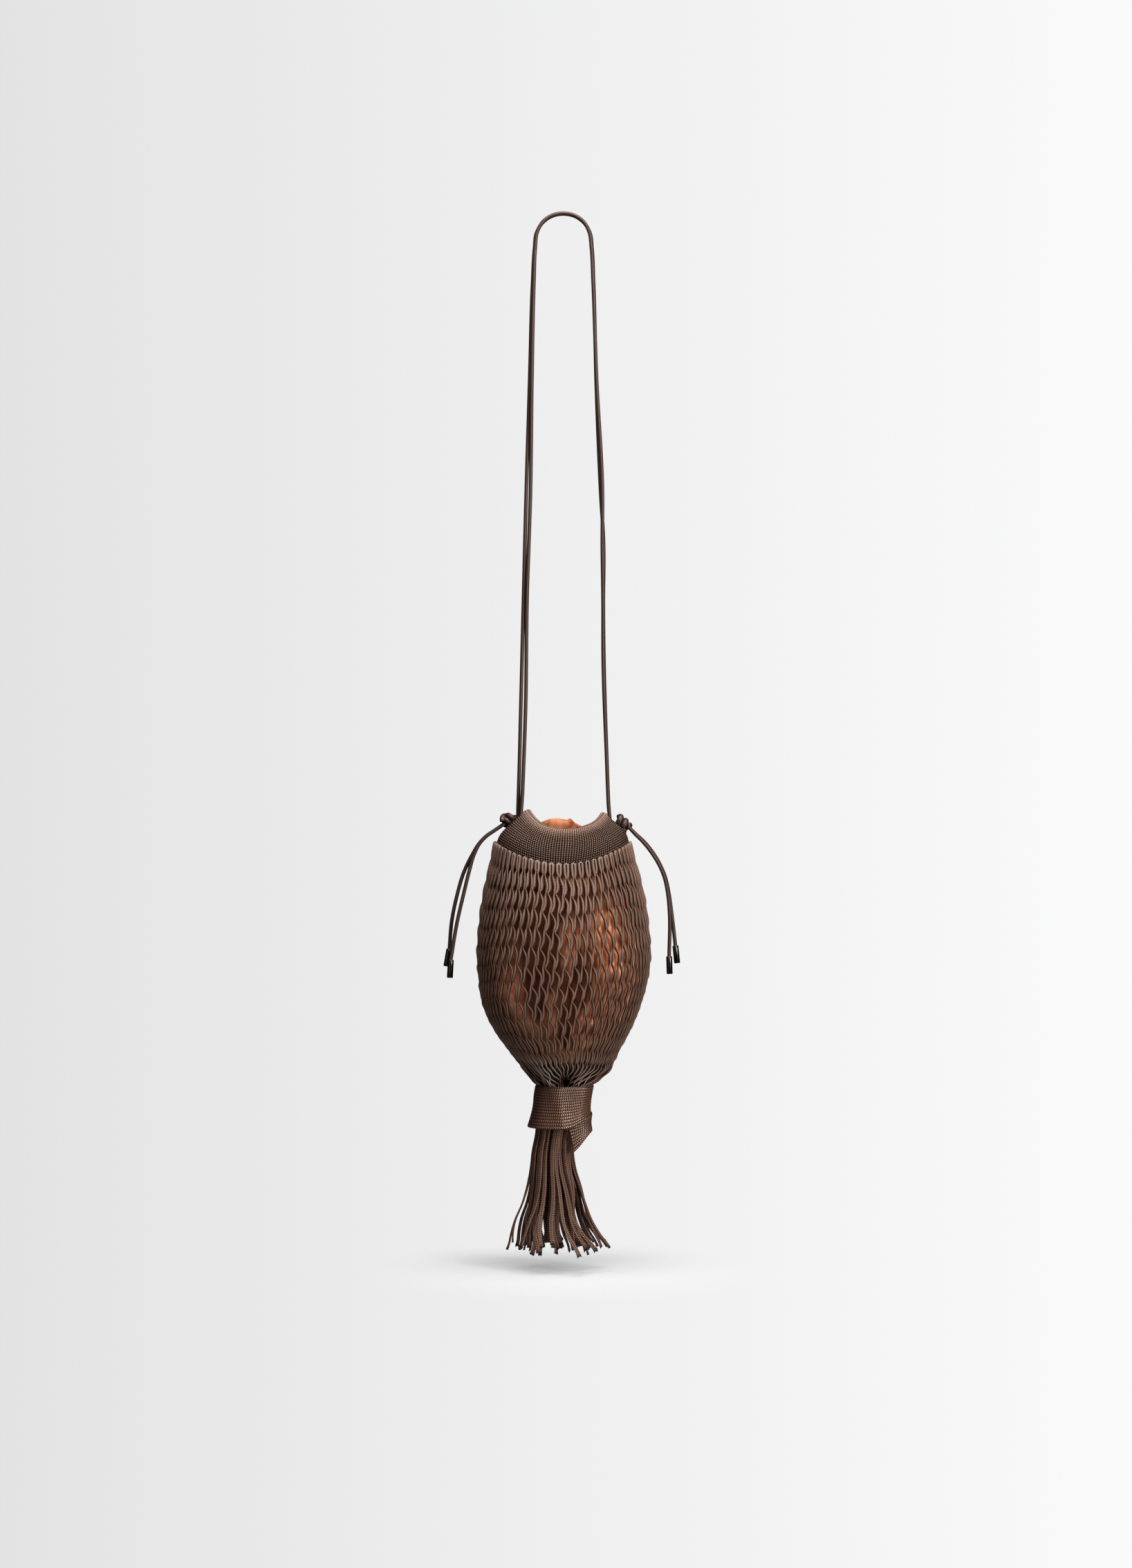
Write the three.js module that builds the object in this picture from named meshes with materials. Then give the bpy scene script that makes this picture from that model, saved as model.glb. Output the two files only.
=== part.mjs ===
// A drawstring pouch handbag, hung by its strap: a knitted collar, a net of flat braids over a soft
// lining, two strap cords knotted at the sides, four cord ends with metal tips, and a wrapped tassel.
// Millimetres, +Z up. The origin is the point under the top of the strap where it hangs, the bag's
// front faces -Y, and its right side, as seen from the front, is +X.
import * as THREE from "three";

// Driving dimensions
const SEGMENTS = 48; // sides of every section round the bag
const GAP = 0.4; // between pieces that touch on the real bag
const CORD_DIAMETER = 3.5;
const CORD_SIDES = 8;
const COLLAR_WALL = 3.2;
const NET_WALL = 2.0;
const LINING_WALL = 1.2;
const BAND_WALL = 2.2;
const TIP_LENGTH = 16.2;
const TIP_RADIUS = 2.8;
const TIP_LIP = 0.35;
const TIP_SIDES = 16;
const KNOT_HALF = { length: 7.6, depth: 6.4, thickness: 4.1 };

/** Turns rows of numbers into records with the named columns. */
function table(columns, rows) {
  return rows.map((row) => Object.fromEntries(columns.map((name, i) => [name, row[i]])));
}

// Each section is an oval: z is its height at the two sides, and sag is how much lower it lies at the
// front and the back. All these tables run from the top down.
const SECTION_COLUMNS = ["z", "halfWidth", "halfDepth", "sag", "centreX"];

const COLLAR_SECTIONS = table(SECTION_COLUMNS, [
  [-546.3, 35.0, 27.0, 20.3, 1.2],
  [-547.6, 37.0, 28.8, 20.3, 1.0],
  [-553.0, 43.3, 34.0, 20.0, 0.6],
  [-560.5, 51.3, 40.5, 19.5, 0.0],
  [-568.5, 57.9, 46.0, 19.0, -0.8],
  [-577.0, 60.8, 48.0, 18.6, -1.4],
  [-583.5, 61.6, 49.0, 18.0, -1.5],
]);

const NET_SECTIONS = table(SECTION_COLUMNS, [
  [-577.3, 63.9, 51.2, 18.5, -1.6],
  [-590.0, 66.4, 54.5, 15.0, -1.3],
  [-606.0, 70.5, 58.5, 11.0, -0.9],
  [-630.0, 75.6, 62.5, 6.0, -0.6],
  [-655.0, 78.8, 65.0, 2.0, -0.5],
  [-677.0, 80.4, 65.5, 0.0, -0.4],
  [-700.0, 78.6, 64.0, 0.0, -0.9],
  [-720.0, 74.6, 61.0, 0.0, -2.2],
  [-738.0, 68.0, 56.5, 0.0, -2.2],
  [-753.0, 60.0, 51.0, 0.0, -1.4],
  [-766.0, 51.6, 44.5, 0.0, -0.2],
  [-776.0, 45.4, 36.5, 0.0, 1.2],
  [-784.0, 39.8, 29.5, 0.0, 1.8],
  [-791.5, 32.6, 25.0, 0.0, 1.2],
  [-796.6, 27.0, 23.6, 0.0, 0.3],
  [-799.0, 24.2, 21.6, 0.0, 0.0],
  [-806.0, 23.8, 21.2, 0.0, -0.6],
]);

const LINING_COLUMNS = [...SECTION_COLUMNS, "fold"]; // fold is the height of the folds
const LINING_SECTIONS = table(LINING_COLUMNS, [
  [-556.6, 13.0, 7.4, 0.0, -1.6, 0.9],
  [-555.7, 17.0, 10.6, 0.0, -1.6, 1.1],
  [-558.2, 21.8, 14.6, 0.8, -1.6, 1.2],
  [-562.6, 26.5, 18.6, 3.0, -1.4, 1.2],
  [-567.0, 37.5, 25.5, 8.0, -1.0, 1.0],
  [-573.5, 49.5, 34.5, 12.0, -1.0, 0.6],
  [-583.5, 58.0, 45.4, 18.0, -1.5, 0.0],
  [-594.0, 60.5, 48.6, 14.0, -1.4, 0.5],
  [-608.0, 65.0, 52.5, 9.0, -1.0, 1.0],
  [-630.0, 70.0, 56.5, 5.0, -0.6, 1.3],
  [-655.0, 73.0, 59.0, 2.0, -0.5, 1.4],
  [-677.0, 74.6, 59.8, 0.0, -0.4, 1.4],
  [-700.0, 73.0, 58.5, 0.0, -0.9, 1.4],
  [-720.0, 69.0, 55.5, 0.0, -2.0, 1.3],
  [-738.0, 62.0, 50.5, 0.0, -2.0, 1.1],
  [-751.0, 53.0, 43.5, 0.0, -1.4, 0.9],
  [-761.0, 41.5, 34.5, 0.0, -0.6, 0.6],
  [-767.5, 28.0, 23.5, 0.0, 0.0, 0.3],
  [-771.0, 13.0, 11.0, 0.0, 0.0, 0.0],
]);
const LINING_BOTTOM = -772.0;
const LINING_FOLDS = 11;
const LINING_FOLD_TWIST = 0.02; // radians of sideways drift of the folds for each millimetre of height

const BAND_SECTIONS = table(SECTION_COLUMNS, [
  [-799.4, 26.8, 24.4, 0.0, 0.2],
  [-806.0, 26.8, 24.6, 0.0, -1.0],
  [-818.0, 26.8, 25.0, 0.0, -2.4],
  [-826.0, 27.9, 25.8, 0.0, -3.6],
  [-831.6, 29.2, 26.6, 0.0, -4.4],
]);
// The ribbon is wound at a slant: its lower edge rises towards the right of the back.
const BAND_EDGE_SLANT = { height: 5.6, highestAt: Math.PI / 6 };

const TASSEL_SECTIONS = table(SECTION_COLUMNS, [
  [-807.0, 22.0, 20.0, 0.0, -1.2],
  [-810.0, 23.8, 21.7, 0.0, -1.4],
  [-819.0, 22.8, 21.2, 0.0, -3.2],
  [-830.0, 20.0, 18.0, 0.0, -6.4],
  [-843.0, 18.0, 16.0, 0.0, -9.0],
  [-860.0, 19.2, 16.4, 0.0, -11.0],
  [-874.0, 21.0, 18.0, 0.0, -10.8],
  [-894.0, 26.4, 22.5, 0.0, -9.4],
  [-908.0, 30.6, 26.0, 0.0, -9.4],
  [-922.0, 36.2, 30.5, 0.0, -10.0],
  [-934.0, 41.5, 35.0, 0.0, -8.4],
  [-944.0, 46.4, 39.0, 0.0, -5.6],
  [-948.5, 45.0, 38.5, 0.0, -5.8],
  [-953.5, 36.0, 32.0, 0.0, -7.0],
]);
const TASSEL_BOTTOM = -955.8;
const TASSEL_RIDGES = 16;
const TASSEL_RIDGE_HEIGHT = 0.5;

// The ribbon's folded end, from where it leaves the wrap at the right of the back, round the right
// side and down across the front. Columns: the two edges of the ribbon at each station.
const WRAP_TAIL_STATIONS = table(
  ["topX", "topY", "topZ", "lowX", "lowY", "lowZ"],
  [
    [16.5, 14.4, -827.4, 17.0, 13.0, -839.0],
    [22.6, 8.0, -827.6, 22.6, 7.4, -840.0],
    [25.2, -1.0, -828.4, 25.2, -1.6, -840.4],
    [23.6, -10.0, -830.4, 23.8, -10.2, -841.6],
    [17.6, -15.8, -833.0, 19.0, -15.4, -847.2],
    [10.0, -18.2, -833.6, 13.8, -17.4, -853.6],
    [2.6, -19.2, -833.4, 9.0, -18.0, -858.4],
  ],
);
const WRAP_TAIL_CREASE = 1.3; // how far the ribbon's middle stands out between its two edges
const WRAP_TAIL_ROWS = 4;

// Strap cords, from the left side of the collar up, over the top and down to its right side.
const STRAP_ROUTES = {
  strap_cord_back: [
    [-42.6, 1.95, -550.6],
    [-42.5, 1.95, -545.0],
    [-42.1, 1.6, -533.0],
    [-41.3, 0.8, -507.0],
    [-40.0, 0.3, -456.0],
    [-37.5, 1.2, -354.5],
    [-34.9, 0.8, -253.0],
    [-31.8, 1.7, -151.5],
    [-29.0, 1.9, -60.0],
    [-27.3, 1.95, -30.0],
    [-25.4, 1.95, -15.4],
    [-19.6, 1.95, -5.9],
    [-10.7, 1.95, 0.0],
    [-0.9, 1.95, 1.75],
    [8.9, 1.95, 0.0],
    [17.8, 1.95, -5.9],
    [23.5, 1.95, -15.4],
    [25.5, 1.95, -30.0],
    [26.9, 1.95, -60.0],
    [29.3, 1.95, -151.5],
    [33.4, 1.95, -253.0],
    [36.2, 1.95, -304.0],
    [35.9, 1.95, -354.5],
    [36.4, 1.95, -405.0],
    [39.4, 1.95, -507.0],
    [40.4, 1.95, -534.0],
    [40.8, 1.95, -542.0],
    [41.3, 1.95, -548.0],
  ],
  strap_cord_front: [
    [-39.6, -1.95, -548.0],
    [-39.2, -1.95, -543.0],
    [-38.5, -1.7, -533.0],
    [-37.4, -0.9, -507.0],
    [-35.6, -0.3, -456.0],
    [-34.2, -1.2, -354.5],
    [-31.0, -0.8, -253.0],
    [-29.7, -1.7, -151.5],
    [-27.8, -1.9, -60.0],
    [-26.6, -1.95, -30.0],
    [-24.8, -1.95, -15.4],
    [-19.4, -1.95, -5.9],
    [-10.7, -1.95, 0.0],
    [-0.9, -1.95, 1.75],
    [8.9, -1.95, 0.0],
    [17.6, -1.95, -5.9],
    [22.9, -1.95, -15.4],
    [24.9, -1.95, -30.0],
    [26.4, -1.95, -60.0],
    [29.7, -1.95, -151.5],
    [35.0, -1.95, -253.0],
    [34.9, -1.95, -304.0],
    [35.6, -1.95, -354.5],
    [35.7, -1.95, -405.0],
    [39.2, -1.95, -507.0],
    [40.2, -1.95, -534.0],
    [40.6, -1.95, -542.0],
    [41.1, -1.95, -547.8],
  ],
};

// Free ends, from their knot down to their tip.
const TAIL_ROUTES = {
  tail_left_outer: [
    [-57.2, 2.0, -560.1],
    [-64.1, 2.1, -564.8],
    [-71.1, 2.2, -569.5],
    [-78.3, 2.2, -577.0],
    [-85.0, 2.2, -588.0],
    [-91.4, 2.4, -601.0],
    [-98.7, 2.8, -625.0],
    [-103.4, 3.3, -648.0],
    [-105.6, 3.6, -673.5],
  ],
  tail_left_inner: [
    [-57.2, -2.0, -560.1],
    [-64.1, -2.1, -564.8],
    [-70.9, -2.2, -569.5],
    [-77.8, -2.2, -576.8],
    [-83.0, -2.2, -587.4],
    [-87.2, -2.3, -602.0],
    [-92.2, -2.6, -622.5],
    [-98.2, -3.1, -648.6],
    [-104.0, -3.6, -683.0],
  ],
  tail_right_outer: [
    [60.6, 2.0, -563.1],
    [66.2, 2.1, -568.6],
    [72.0, 2.2, -573.8],
    [80.6, 2.2, -584.0],
    [87.1, 2.3, -594.5],
    [92.4, 2.4, -606.5],
    [96.0, 2.5, -622.0],
    [98.6, 2.6, -640.0],
    [102.1, 2.7, -670.3],
  ],
  tail_right_inner: [
    [60.6, -2.0, -563.1],
    [66.0, -2.1, -568.9],
    [71.6, -2.2, -574.4],
    [80.0, -2.2, -584.8],
    [86.4, -2.3, -595.0],
    [91.5, -2.4, -606.5],
    [94.9, -2.5, -622.0],
    [96.6, -2.6, -641.0],
    [96.2, -2.8, -679.9],
  ],
};

// Where the lower end of each metal tip points; its top sits on the end of its cord.
const TIP_LOWER_ENDS = {
  tip_left_outer: [-108.4, 3.8, -689.7],
  tip_left_inner: [-104.9, -3.7, -699.9],
  tip_right_outer: [103.8, 2.8, -686.8],
  tip_right_inner: [96.7, -2.8, -696.4],
};

// Each knot lies on the slope of the collar. Its tilt turns its long axis down along that slope.
const KNOT_PLACES = {
  knot_left: { position: [-51.3, 0, -554.5], tilt: -0.722 },
  knot_right: { position: [54.7, 0, -557.6], tilt: 0.722 },
};

const braidedCotton = new THREE.MeshStandardMaterial({ color: 0x5a4438, roughness: 0.75, metalness: 0 });
const tasselBraid = new THREE.MeshStandardMaterial({ color: 0x4a372f, roughness: 0.8, metalness: 0 });
const knitRibbon = new THREE.MeshStandardMaterial({ color: 0x624a3d, roughness: 0.6, metalness: 0 });
const suede = new THREE.MeshStandardMaterial({ color: 0xa66440, roughness: 0.85, metalness: 0 });
const waxedCord = new THREE.MeshStandardMaterial({ color: 0x352925, roughness: 0.5, metalness: 0 });
const blackNickel = new THREE.MeshStandardMaterial({ color: 0x2b2b29, roughness: 0.22, metalness: 1 });

/** The corners of one oval section. `ripple` gives the outward shift at an angle and height. */
function ring(section, ripple = () => 0) {
  return Array.from({ length: SEGMENTS }, (_, i) => {
    const angle = (2 * Math.PI * i) / SEGMENTS;
    const outward = ripple(angle, section);
    return new THREE.Vector3(
      section.centreX + (section.halfWidth + outward) * Math.cos(angle),
      (section.halfDepth + outward) * Math.sin(angle),
      section.z - section.sag * Math.sin(angle) ** 2,
    );
  });
}

/** Sections of the inner face of a wall: each is moved in by the wall, square to the side outline. */
function inset(sections, wall) {
  return sections.map((section, i) => {
    const above = sections[Math.max(i - 1, 0)];
    const below = sections[Math.min(i + 1, sections.length - 1)];
    const run = below.halfWidth - above.halfWidth;
    const drop = above.z - below.z;
    const slope = Math.hypot(run, drop);
    const inward = (wall * drop) / slope;
    return {
      ...section,
      z: section.z - (wall * run) / slope,
      halfWidth: section.halfWidth - inward,
      halfDepth: section.halfDepth - inward,
    };
  });
}

/** A closed surface through rings, which run up the outside and, on a hollow piece, down the inside.
 *  The ends close on a point each, or on each other when `joined`. */
function loft(rings, { start = null, end = null, joined = false }) {
  const sides = rings[0].length;
  const corners = rings.flat();
  const faces = [];
  const corner = (row, column) => (row % rings.length) * sides + (column % sides);
  const rows = joined ? rings.length : rings.length - 1;
  for (let row = 0; row < rows; row += 1) {
    for (let column = 0; column < sides; column += 1) {
      const [a, b] = [corner(row, column), corner(row, column + 1)];
      const [c, d] = [corner(row + 1, column + 1), corner(row + 1, column)];
      faces.push(a, b, c, a, c, d);
    }
  }
  if (start) {
    const tip = corners.push(start) - 1;
    for (let column = 0; column < sides; column += 1) {
      faces.push(tip, corner(0, column + 1), corner(0, column));
    }
  }
  if (end) {
    const tip = corners.push(end) - 1;
    const last = rings.length - 1;
    for (let column = 0; column < sides; column += 1) {
      faces.push(tip, corner(last, column), corner(last, column + 1));
    }
  }
  const geometry = new THREE.BufferGeometry().setFromPoints(corners);
  geometry.setIndex(faces);
  return geometry;
}

/** A ring-shaped wall, open at its top and bottom. */
function openWall(sections, wall) {
  const outside = sections.toReversed().map((section) => ring(section));
  const inside = inset(sections, wall).map((section) => ring(section));
  return loft([...outside, ...inside], { joined: true });
}

/** The folds of the lining, which drift sideways as they go down. */
function liningFold(angle, section) {
  return section.fold * Math.cos(LINING_FOLDS * angle + LINING_FOLD_TWIST * LINING_FOLDS * section.z);
}

/** The inner bag: closed below, gathered above round a small mouth. */
function liningGeometry() {
  const outside = LINING_SECTIONS.toReversed().map((section) => ring(section, liningFold));
  const inside = inset(LINING_SECTIONS, LINING_WALL).slice(1).map((section) => ring(section, liningFold));
  return loft([...outside, ...inside], {
    start: new THREE.Vector3(0, 0, LINING_BOTTOM),
    end: new THREE.Vector3(0, 0, LINING_BOTTOM + LINING_WALL),
  });
}

/** The wound ribbon: a wall whose lower edge is cut on a slant. */
function bandGeometry() {
  const lowest = BAND_SECTIONS.at(-1).z;
  const highest = BAND_SECTIONS[0].z;
  const geometry = openWall(BAND_SECTIONS, BAND_WALL);
  const position = geometry.attributes.position;
  for (let i = 0; i < position.count; i += 1) {
    const angle = Math.atan2(position.getY(i), position.getX(i));
    const share = THREE.MathUtils.clamp((highest - position.getZ(i)) / (highest - lowest), 0, 1);
    const lift = BAND_EDGE_SLANT.height * Math.cos(angle - BAND_EDGE_SLANT.highestAt);
    position.setZ(i, position.getZ(i) + lift * share ** 2);
  }
  return geometry;
}

/** The hanging braids as one body of their outer form, with shallow ridges. */
function tasselGeometry() {
  const ridges = (angle) => TASSEL_RIDGE_HEIGHT * (Math.cos(TASSEL_RIDGES * angle) - 1);
  const rings = TASSEL_SECTIONS.toReversed().map((section) => ring(section, ridges));
  const { z, centreX } = TASSEL_SECTIONS[0];
  return loft(rings, {
    start: new THREE.Vector3(TASSEL_SECTIONS.at(-1).centreX, 0, TASSEL_BOTTOM),
    end: new THREE.Vector3(centreX, 0, z),
  });
}

/** The ribbon's folded end: at each station a flat oblong section, bowed outwards at its crease. */
function wrapTailGeometry() {
  const half = BAND_WALL / 2;
  const rings = WRAP_TAIL_STATIONS.map((station, i) => {
    const before = WRAP_TAIL_STATIONS[Math.max(i - 1, 0)];
    const after = WRAP_TAIL_STATIONS[Math.min(i + 1, WRAP_TAIL_STATIONS.length - 1)];
    const along = new THREE.Vector3(after.topX - before.topX, after.topY - before.topY, 0).normalize();
    const out = new THREE.Vector3(-along.y, along.x, 0).negate();
    const top = new THREE.Vector3(station.topX, station.topY, station.topZ);
    const low = new THREE.Vector3(station.lowX, station.lowY, station.lowZ);
    const face = (side) =>
      Array.from({ length: WRAP_TAIL_ROWS + 1 }, (_, row) => {
        const share = row / WRAP_TAIL_ROWS;
        const bow = WRAP_TAIL_CREASE * Math.sin(Math.PI * share);
        return top.clone().lerp(low, share).addScaledVector(out, bow + side * half);
      });
    return [...face(1), ...face(-1).toReversed()];
  });
  const middle = (points) =>
    points.reduce((sum, point) => sum.add(point), new THREE.Vector3()).divideScalar(points.length);
  return loft(rings, { start: middle(rings[0]), end: middle(rings.at(-1)) });
}

/** A cord's route, stepped by its listed points, so that its rings are closest where it bends. */
class CordRoute extends THREE.CatmullRomCurve3 {
  getPointAt(share) {
    return this.getPoint(share);
  }

  getTangentAt(share) {
    return this.getTangent(share);
  }
}

/** A round cord along its route. */
function cordGeometry(route) {
  const corners = Array.from({ length: CORD_SIDES }, (_, i) => {
    const angle = (2 * Math.PI * i) / CORD_SIDES;
    return new THREE.Vector2(Math.cos(angle), Math.sin(angle)).multiplyScalar(CORD_DIAMETER / 2);
  });
  const extrudePath = new CordRoute(route.map((point) => new THREE.Vector3(...point)));
  return new THREE.ExtrudeGeometry(new THREE.Shape(corners), { steps: route.length - 1, extrudePath });
}

/** A knot as a barrel of three lobes along its own X axis. Columns: place along it, and girth. */
function knotGeometry() {
  const stations = table(
    ["place", "girth"],
    [
      [-1.0, 0.56],
      [-0.72, 0.9],
      [-0.3, 1.0],
      [0.15, 0.88],
      [0.5, 0.97],
      [0.82, 0.82],
      [1.0, 0.56],
    ],
  );
  const sides = 20;
  const lobes = 0.06;
  const rings = stations.map(({ place, girth }) =>
    Array.from({ length: sides }, (_, i) => {
      const angle = (2 * Math.PI * i) / sides;
      const reach = girth * (1 - lobes + lobes * Math.cos(3 * angle + 2 * place));
      return new THREE.Vector3(
        place * KNOT_HALF.length,
        reach * KNOT_HALF.depth * Math.cos(angle),
        reach * KNOT_HALF.thickness * Math.sin(angle),
      );
    }),
  );
  return loft(rings, {
    start: new THREE.Vector3(-KNOT_HALF.length, 0, 0),
    end: new THREE.Vector3(KNOT_HALF.length, 0, 0),
  });
}

/** A metal cord end, hung from its own origin: a cup with a rolled lip and a domed lower end. */
function tipGeometry() {
  const profile = table(
    ["radius", "below"],
    [
      [0, TIP_LENGTH],
      [TIP_RADIUS * 0.72, TIP_LENGTH],
      [TIP_RADIUS, TIP_LENGTH - 1.2],
      [TIP_RADIUS, 2.2],
      [TIP_RADIUS + TIP_LIP, 1.7],
      [TIP_RADIUS + TIP_LIP, 0.5],
      [TIP_RADIUS, 0],
      [0, 0],
    ],
  ).map(({ radius, below }) => new THREE.Vector2(radius, -below));
  return new THREE.LatheGeometry(profile, TIP_SIDES).rotateX(Math.PI / 2);
}

const bag = new THREE.Group();

/** Adds a named piece to the bag. */
function add(name, geometry, material) {
  const mesh = new THREE.Mesh(geometry, material);
  mesh.name = name;
  bag.add(mesh);
  return mesh;
}

add("collar", openWall(COLLAR_SECTIONS, COLLAR_WALL), braidedCotton);
add("net_pouch", openWall(NET_SECTIONS, NET_WALL), braidedCotton);
add("lining_pouch", liningGeometry(), suede);
add("wrap_band", bandGeometry(), knitRibbon);
add("wrap_tail", wrapTailGeometry(), knitRibbon);
add("tassel", tasselGeometry(), tasselBraid);

for (const [name, route] of Object.entries({ ...STRAP_ROUTES, ...TAIL_ROUTES })) {
  add(name, cordGeometry(route), waxedCord);
}

for (const [name, { position, tilt }] of Object.entries(KNOT_PLACES)) {
  const knot = add(name, knotGeometry(), waxedCord);
  knot.position.set(...position);
  knot.rotation.y = tilt;
}

for (const [name, lowerEnd] of Object.entries(TIP_LOWER_ENDS)) {
  const cordEnd = new THREE.Vector3(...TAIL_ROUTES[name.replace("tip", "tail")].at(-1));
  const downward = new THREE.Vector3(...lowerEnd).sub(cordEnd).normalize();
  const tip = add(name, tipGeometry(), blackNickel);
  tip.quaternion.setFromUnitVectors(new THREE.Vector3(0, 0, -1), downward);
  tip.position.copy(cordEnd).addScaledVector(downward, GAP);
}

export default bag;
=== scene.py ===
"""Looks of a drawstring net pouch handbag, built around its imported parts.

The pouch hangs from a doubled cord. A knitted collar holds a gathered suede lining, and an open net of braids
lies over the lining. A knitted ribbon is wrapped where the net is gathered, and cut braids hang below it as a
tassel. Sizes are in millimetres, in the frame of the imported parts. The studio, the finished meshes and the
stated lengths of cords and sheets are in metres.
"""

import logging
import math
from dataclasses import dataclass
from enum import Enum

import bpy
import numpy as np
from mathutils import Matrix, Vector
from numpy.typing import NDArray


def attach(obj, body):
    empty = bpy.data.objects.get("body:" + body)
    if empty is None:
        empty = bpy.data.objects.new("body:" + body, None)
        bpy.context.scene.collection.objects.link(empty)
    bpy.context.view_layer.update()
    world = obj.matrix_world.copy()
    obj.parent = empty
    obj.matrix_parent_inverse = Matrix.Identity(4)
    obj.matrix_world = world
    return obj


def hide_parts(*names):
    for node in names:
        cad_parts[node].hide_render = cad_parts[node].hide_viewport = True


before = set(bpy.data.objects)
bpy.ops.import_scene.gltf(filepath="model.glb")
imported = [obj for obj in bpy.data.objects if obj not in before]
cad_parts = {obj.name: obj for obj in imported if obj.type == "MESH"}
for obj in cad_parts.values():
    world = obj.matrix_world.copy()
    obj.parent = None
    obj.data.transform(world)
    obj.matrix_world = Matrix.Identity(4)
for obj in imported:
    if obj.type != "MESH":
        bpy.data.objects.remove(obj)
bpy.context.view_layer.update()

Array = NDArray[np.float64]
Index = NDArray[np.int64]
Point = tuple[float, float, float]
LOG = logging.getLogger("handbag")

MM = 0.001
BODY = "root"
STITCH_MAP = "stitch"
# Vertex attribute of painted shade and painted highlights on net, collar and lining, and of heat-sealed
# tassel ends.
PAINTED_LIGHT_AND_SEAL = "painted_light_and_seal"
TURN = 2 * math.pi
# A wave texture repeats once for each step of its coordinate at this scale.
ONE_WAVE = math.pi / 10


class Slot(Enum):
    """The material slots."""

    KNIT = "knit"
    BRAID = "braid"
    LINING = "lining"
    RIBBON = "ribbon"
    FRINGE = "fringe"
    CORD = "cord"
    TIP = "tip"


class Side(Enum):
    """The two sides of the bag as seen from the front; the value is the sign of X."""

    LEFT = -1
    RIGHT = 1


def to_linear(colour: str) -> tuple[float, float, float, float]:
    """Linear RGBA of an sRGB hex colour.

    Each channel is divided by 12.92 at the dark end, and is a power of 2.4 above it.

    Args:
        colour: six hex digits after a hash sign.
    Returns:
        The three linear channels and an alpha of one.
    """
    srgb = np.array([int(colour[i : i + 2], 16) for i in (1, 3, 5)]) / 255
    linear = np.where(srgb <= 0.04045, srgb / 12.92, ((srgb + 0.055) / 1.055) ** 2.4)
    return (float(linear[0]), float(linear[1]), float(linear[2]), 1.0)


def ease(value: Array, low: float, high: float) -> Array:
    """Smooth step: 0 below low, 1 above high, and 3t² - 2t³ between them."""
    t = np.clip((value - low) / (high - low), 0, 1)
    return t * t * (3 - 2 * t)


def bell(value: Array, middle: float, spread: float) -> Array:
    """Bell curve of height 1: e to the minus square of the distance from the middle over the spread."""
    return np.exp(-(((value - middle) / spread) ** 2))


def facing(angle: Array, middle: float, spread: float) -> Array:
    """Bell curve of an angle in radians; its middle and spread are in degrees."""
    return bell(angle, math.radians(middle), math.radians(spread))


def unit(vectors: Array) -> Array:
    """Each vector of the last axis over its own length."""
    return vectors / np.maximum(np.linalg.norm(vectors, axis=-1, keepdims=True), 1e-12)


def lengths_along(points: Array) -> Array:
    """Distance of each point of a path from its first one, along the second last axis."""
    steps = np.linalg.norm(np.diff(points, axis=-2), axis=-1)
    start = np.zeros(steps.shape[:-1] + (1,))
    return np.concatenate([start, np.cumsum(steps, axis=-1)], axis=-1)


def read_rows(knots: Array, rows: Array, at: Array) -> Array:
    """A table read on a smooth curve through all its rows.

    Cubic Hermite pieces with the slope of the parabola through each row and its two neighbours. Past its ends
    the curve runs on straight.

    Args:
        knots: the place of each row, rising.
        rows: the table, one row for each knot.
        at: the places to read.
    Returns:
        The table's columns at each place, on a new last axis.
    """
    slopes = np.gradient(rows, knots, axis=0)
    i = np.clip(np.searchsorted(knots, at, side="right") - 1, 0, len(knots) - 2)
    span = (knots[i + 1] - knots[i])[..., None]
    t = np.clip((at - knots[i])[..., None] / span, 0, 1)
    start = (1 + 2 * t) * (1 - t) ** 2 * rows[i] + t * (1 - t) ** 2 * span * slopes[i]
    end = t * t * (3 - 2 * t) * rows[i + 1] + t * t * (t - 1) * span * slopes[i + 1]
    below = np.minimum(at - knots[0], 0)[..., None] * slopes[0]
    above = np.maximum(at - knots[-1], 0)[..., None] * slopes[-1]
    return start + end + below + above


def smooth_route(points: tuple[Point, ...], step: float) -> Array:
    """A cord's line through its points, at even steps of about the given length."""
    chosen = np.array(points)
    knots = lengths_along(chosen)
    fine = read_rows(knots, chosen, np.linspace(0, knots[-1], 40 * len(points)))
    run = lengths_along(fine)
    even = np.linspace(0, run[-1], int(run[-1] / step) + 1)
    return np.column_stack([np.interp(even, run, fine[:, axis]) for axis in range(3)])


def grid_corners(rows: int, columns: int, wrap_rows: bool, wrap_columns: bool) -> Index:
    """Row and column of each face's four corners on a grid whose rows run down a form, in outward order.

    Args:
        rows: points down the grid.
        columns: points across the grid, to the right as seen from outside.
        wrap_rows: whether the last row joins the first.
        wrap_columns: whether the last column joins the first.
    Returns:
        Corners as (faces, 4, 2). A wrapped corner is one past the last row or column.
    """
    down = np.arange(rows if wrap_rows else rows - 1)
    over = np.arange(columns if wrap_columns else columns - 1)
    first = np.stack(np.meshgrid(down, over, indexing="ij"), axis=-1).reshape(-1, 1, 2)
    return first + np.array([[0, 0], [1, 0], [1, 1], [0, 1]])


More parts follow.
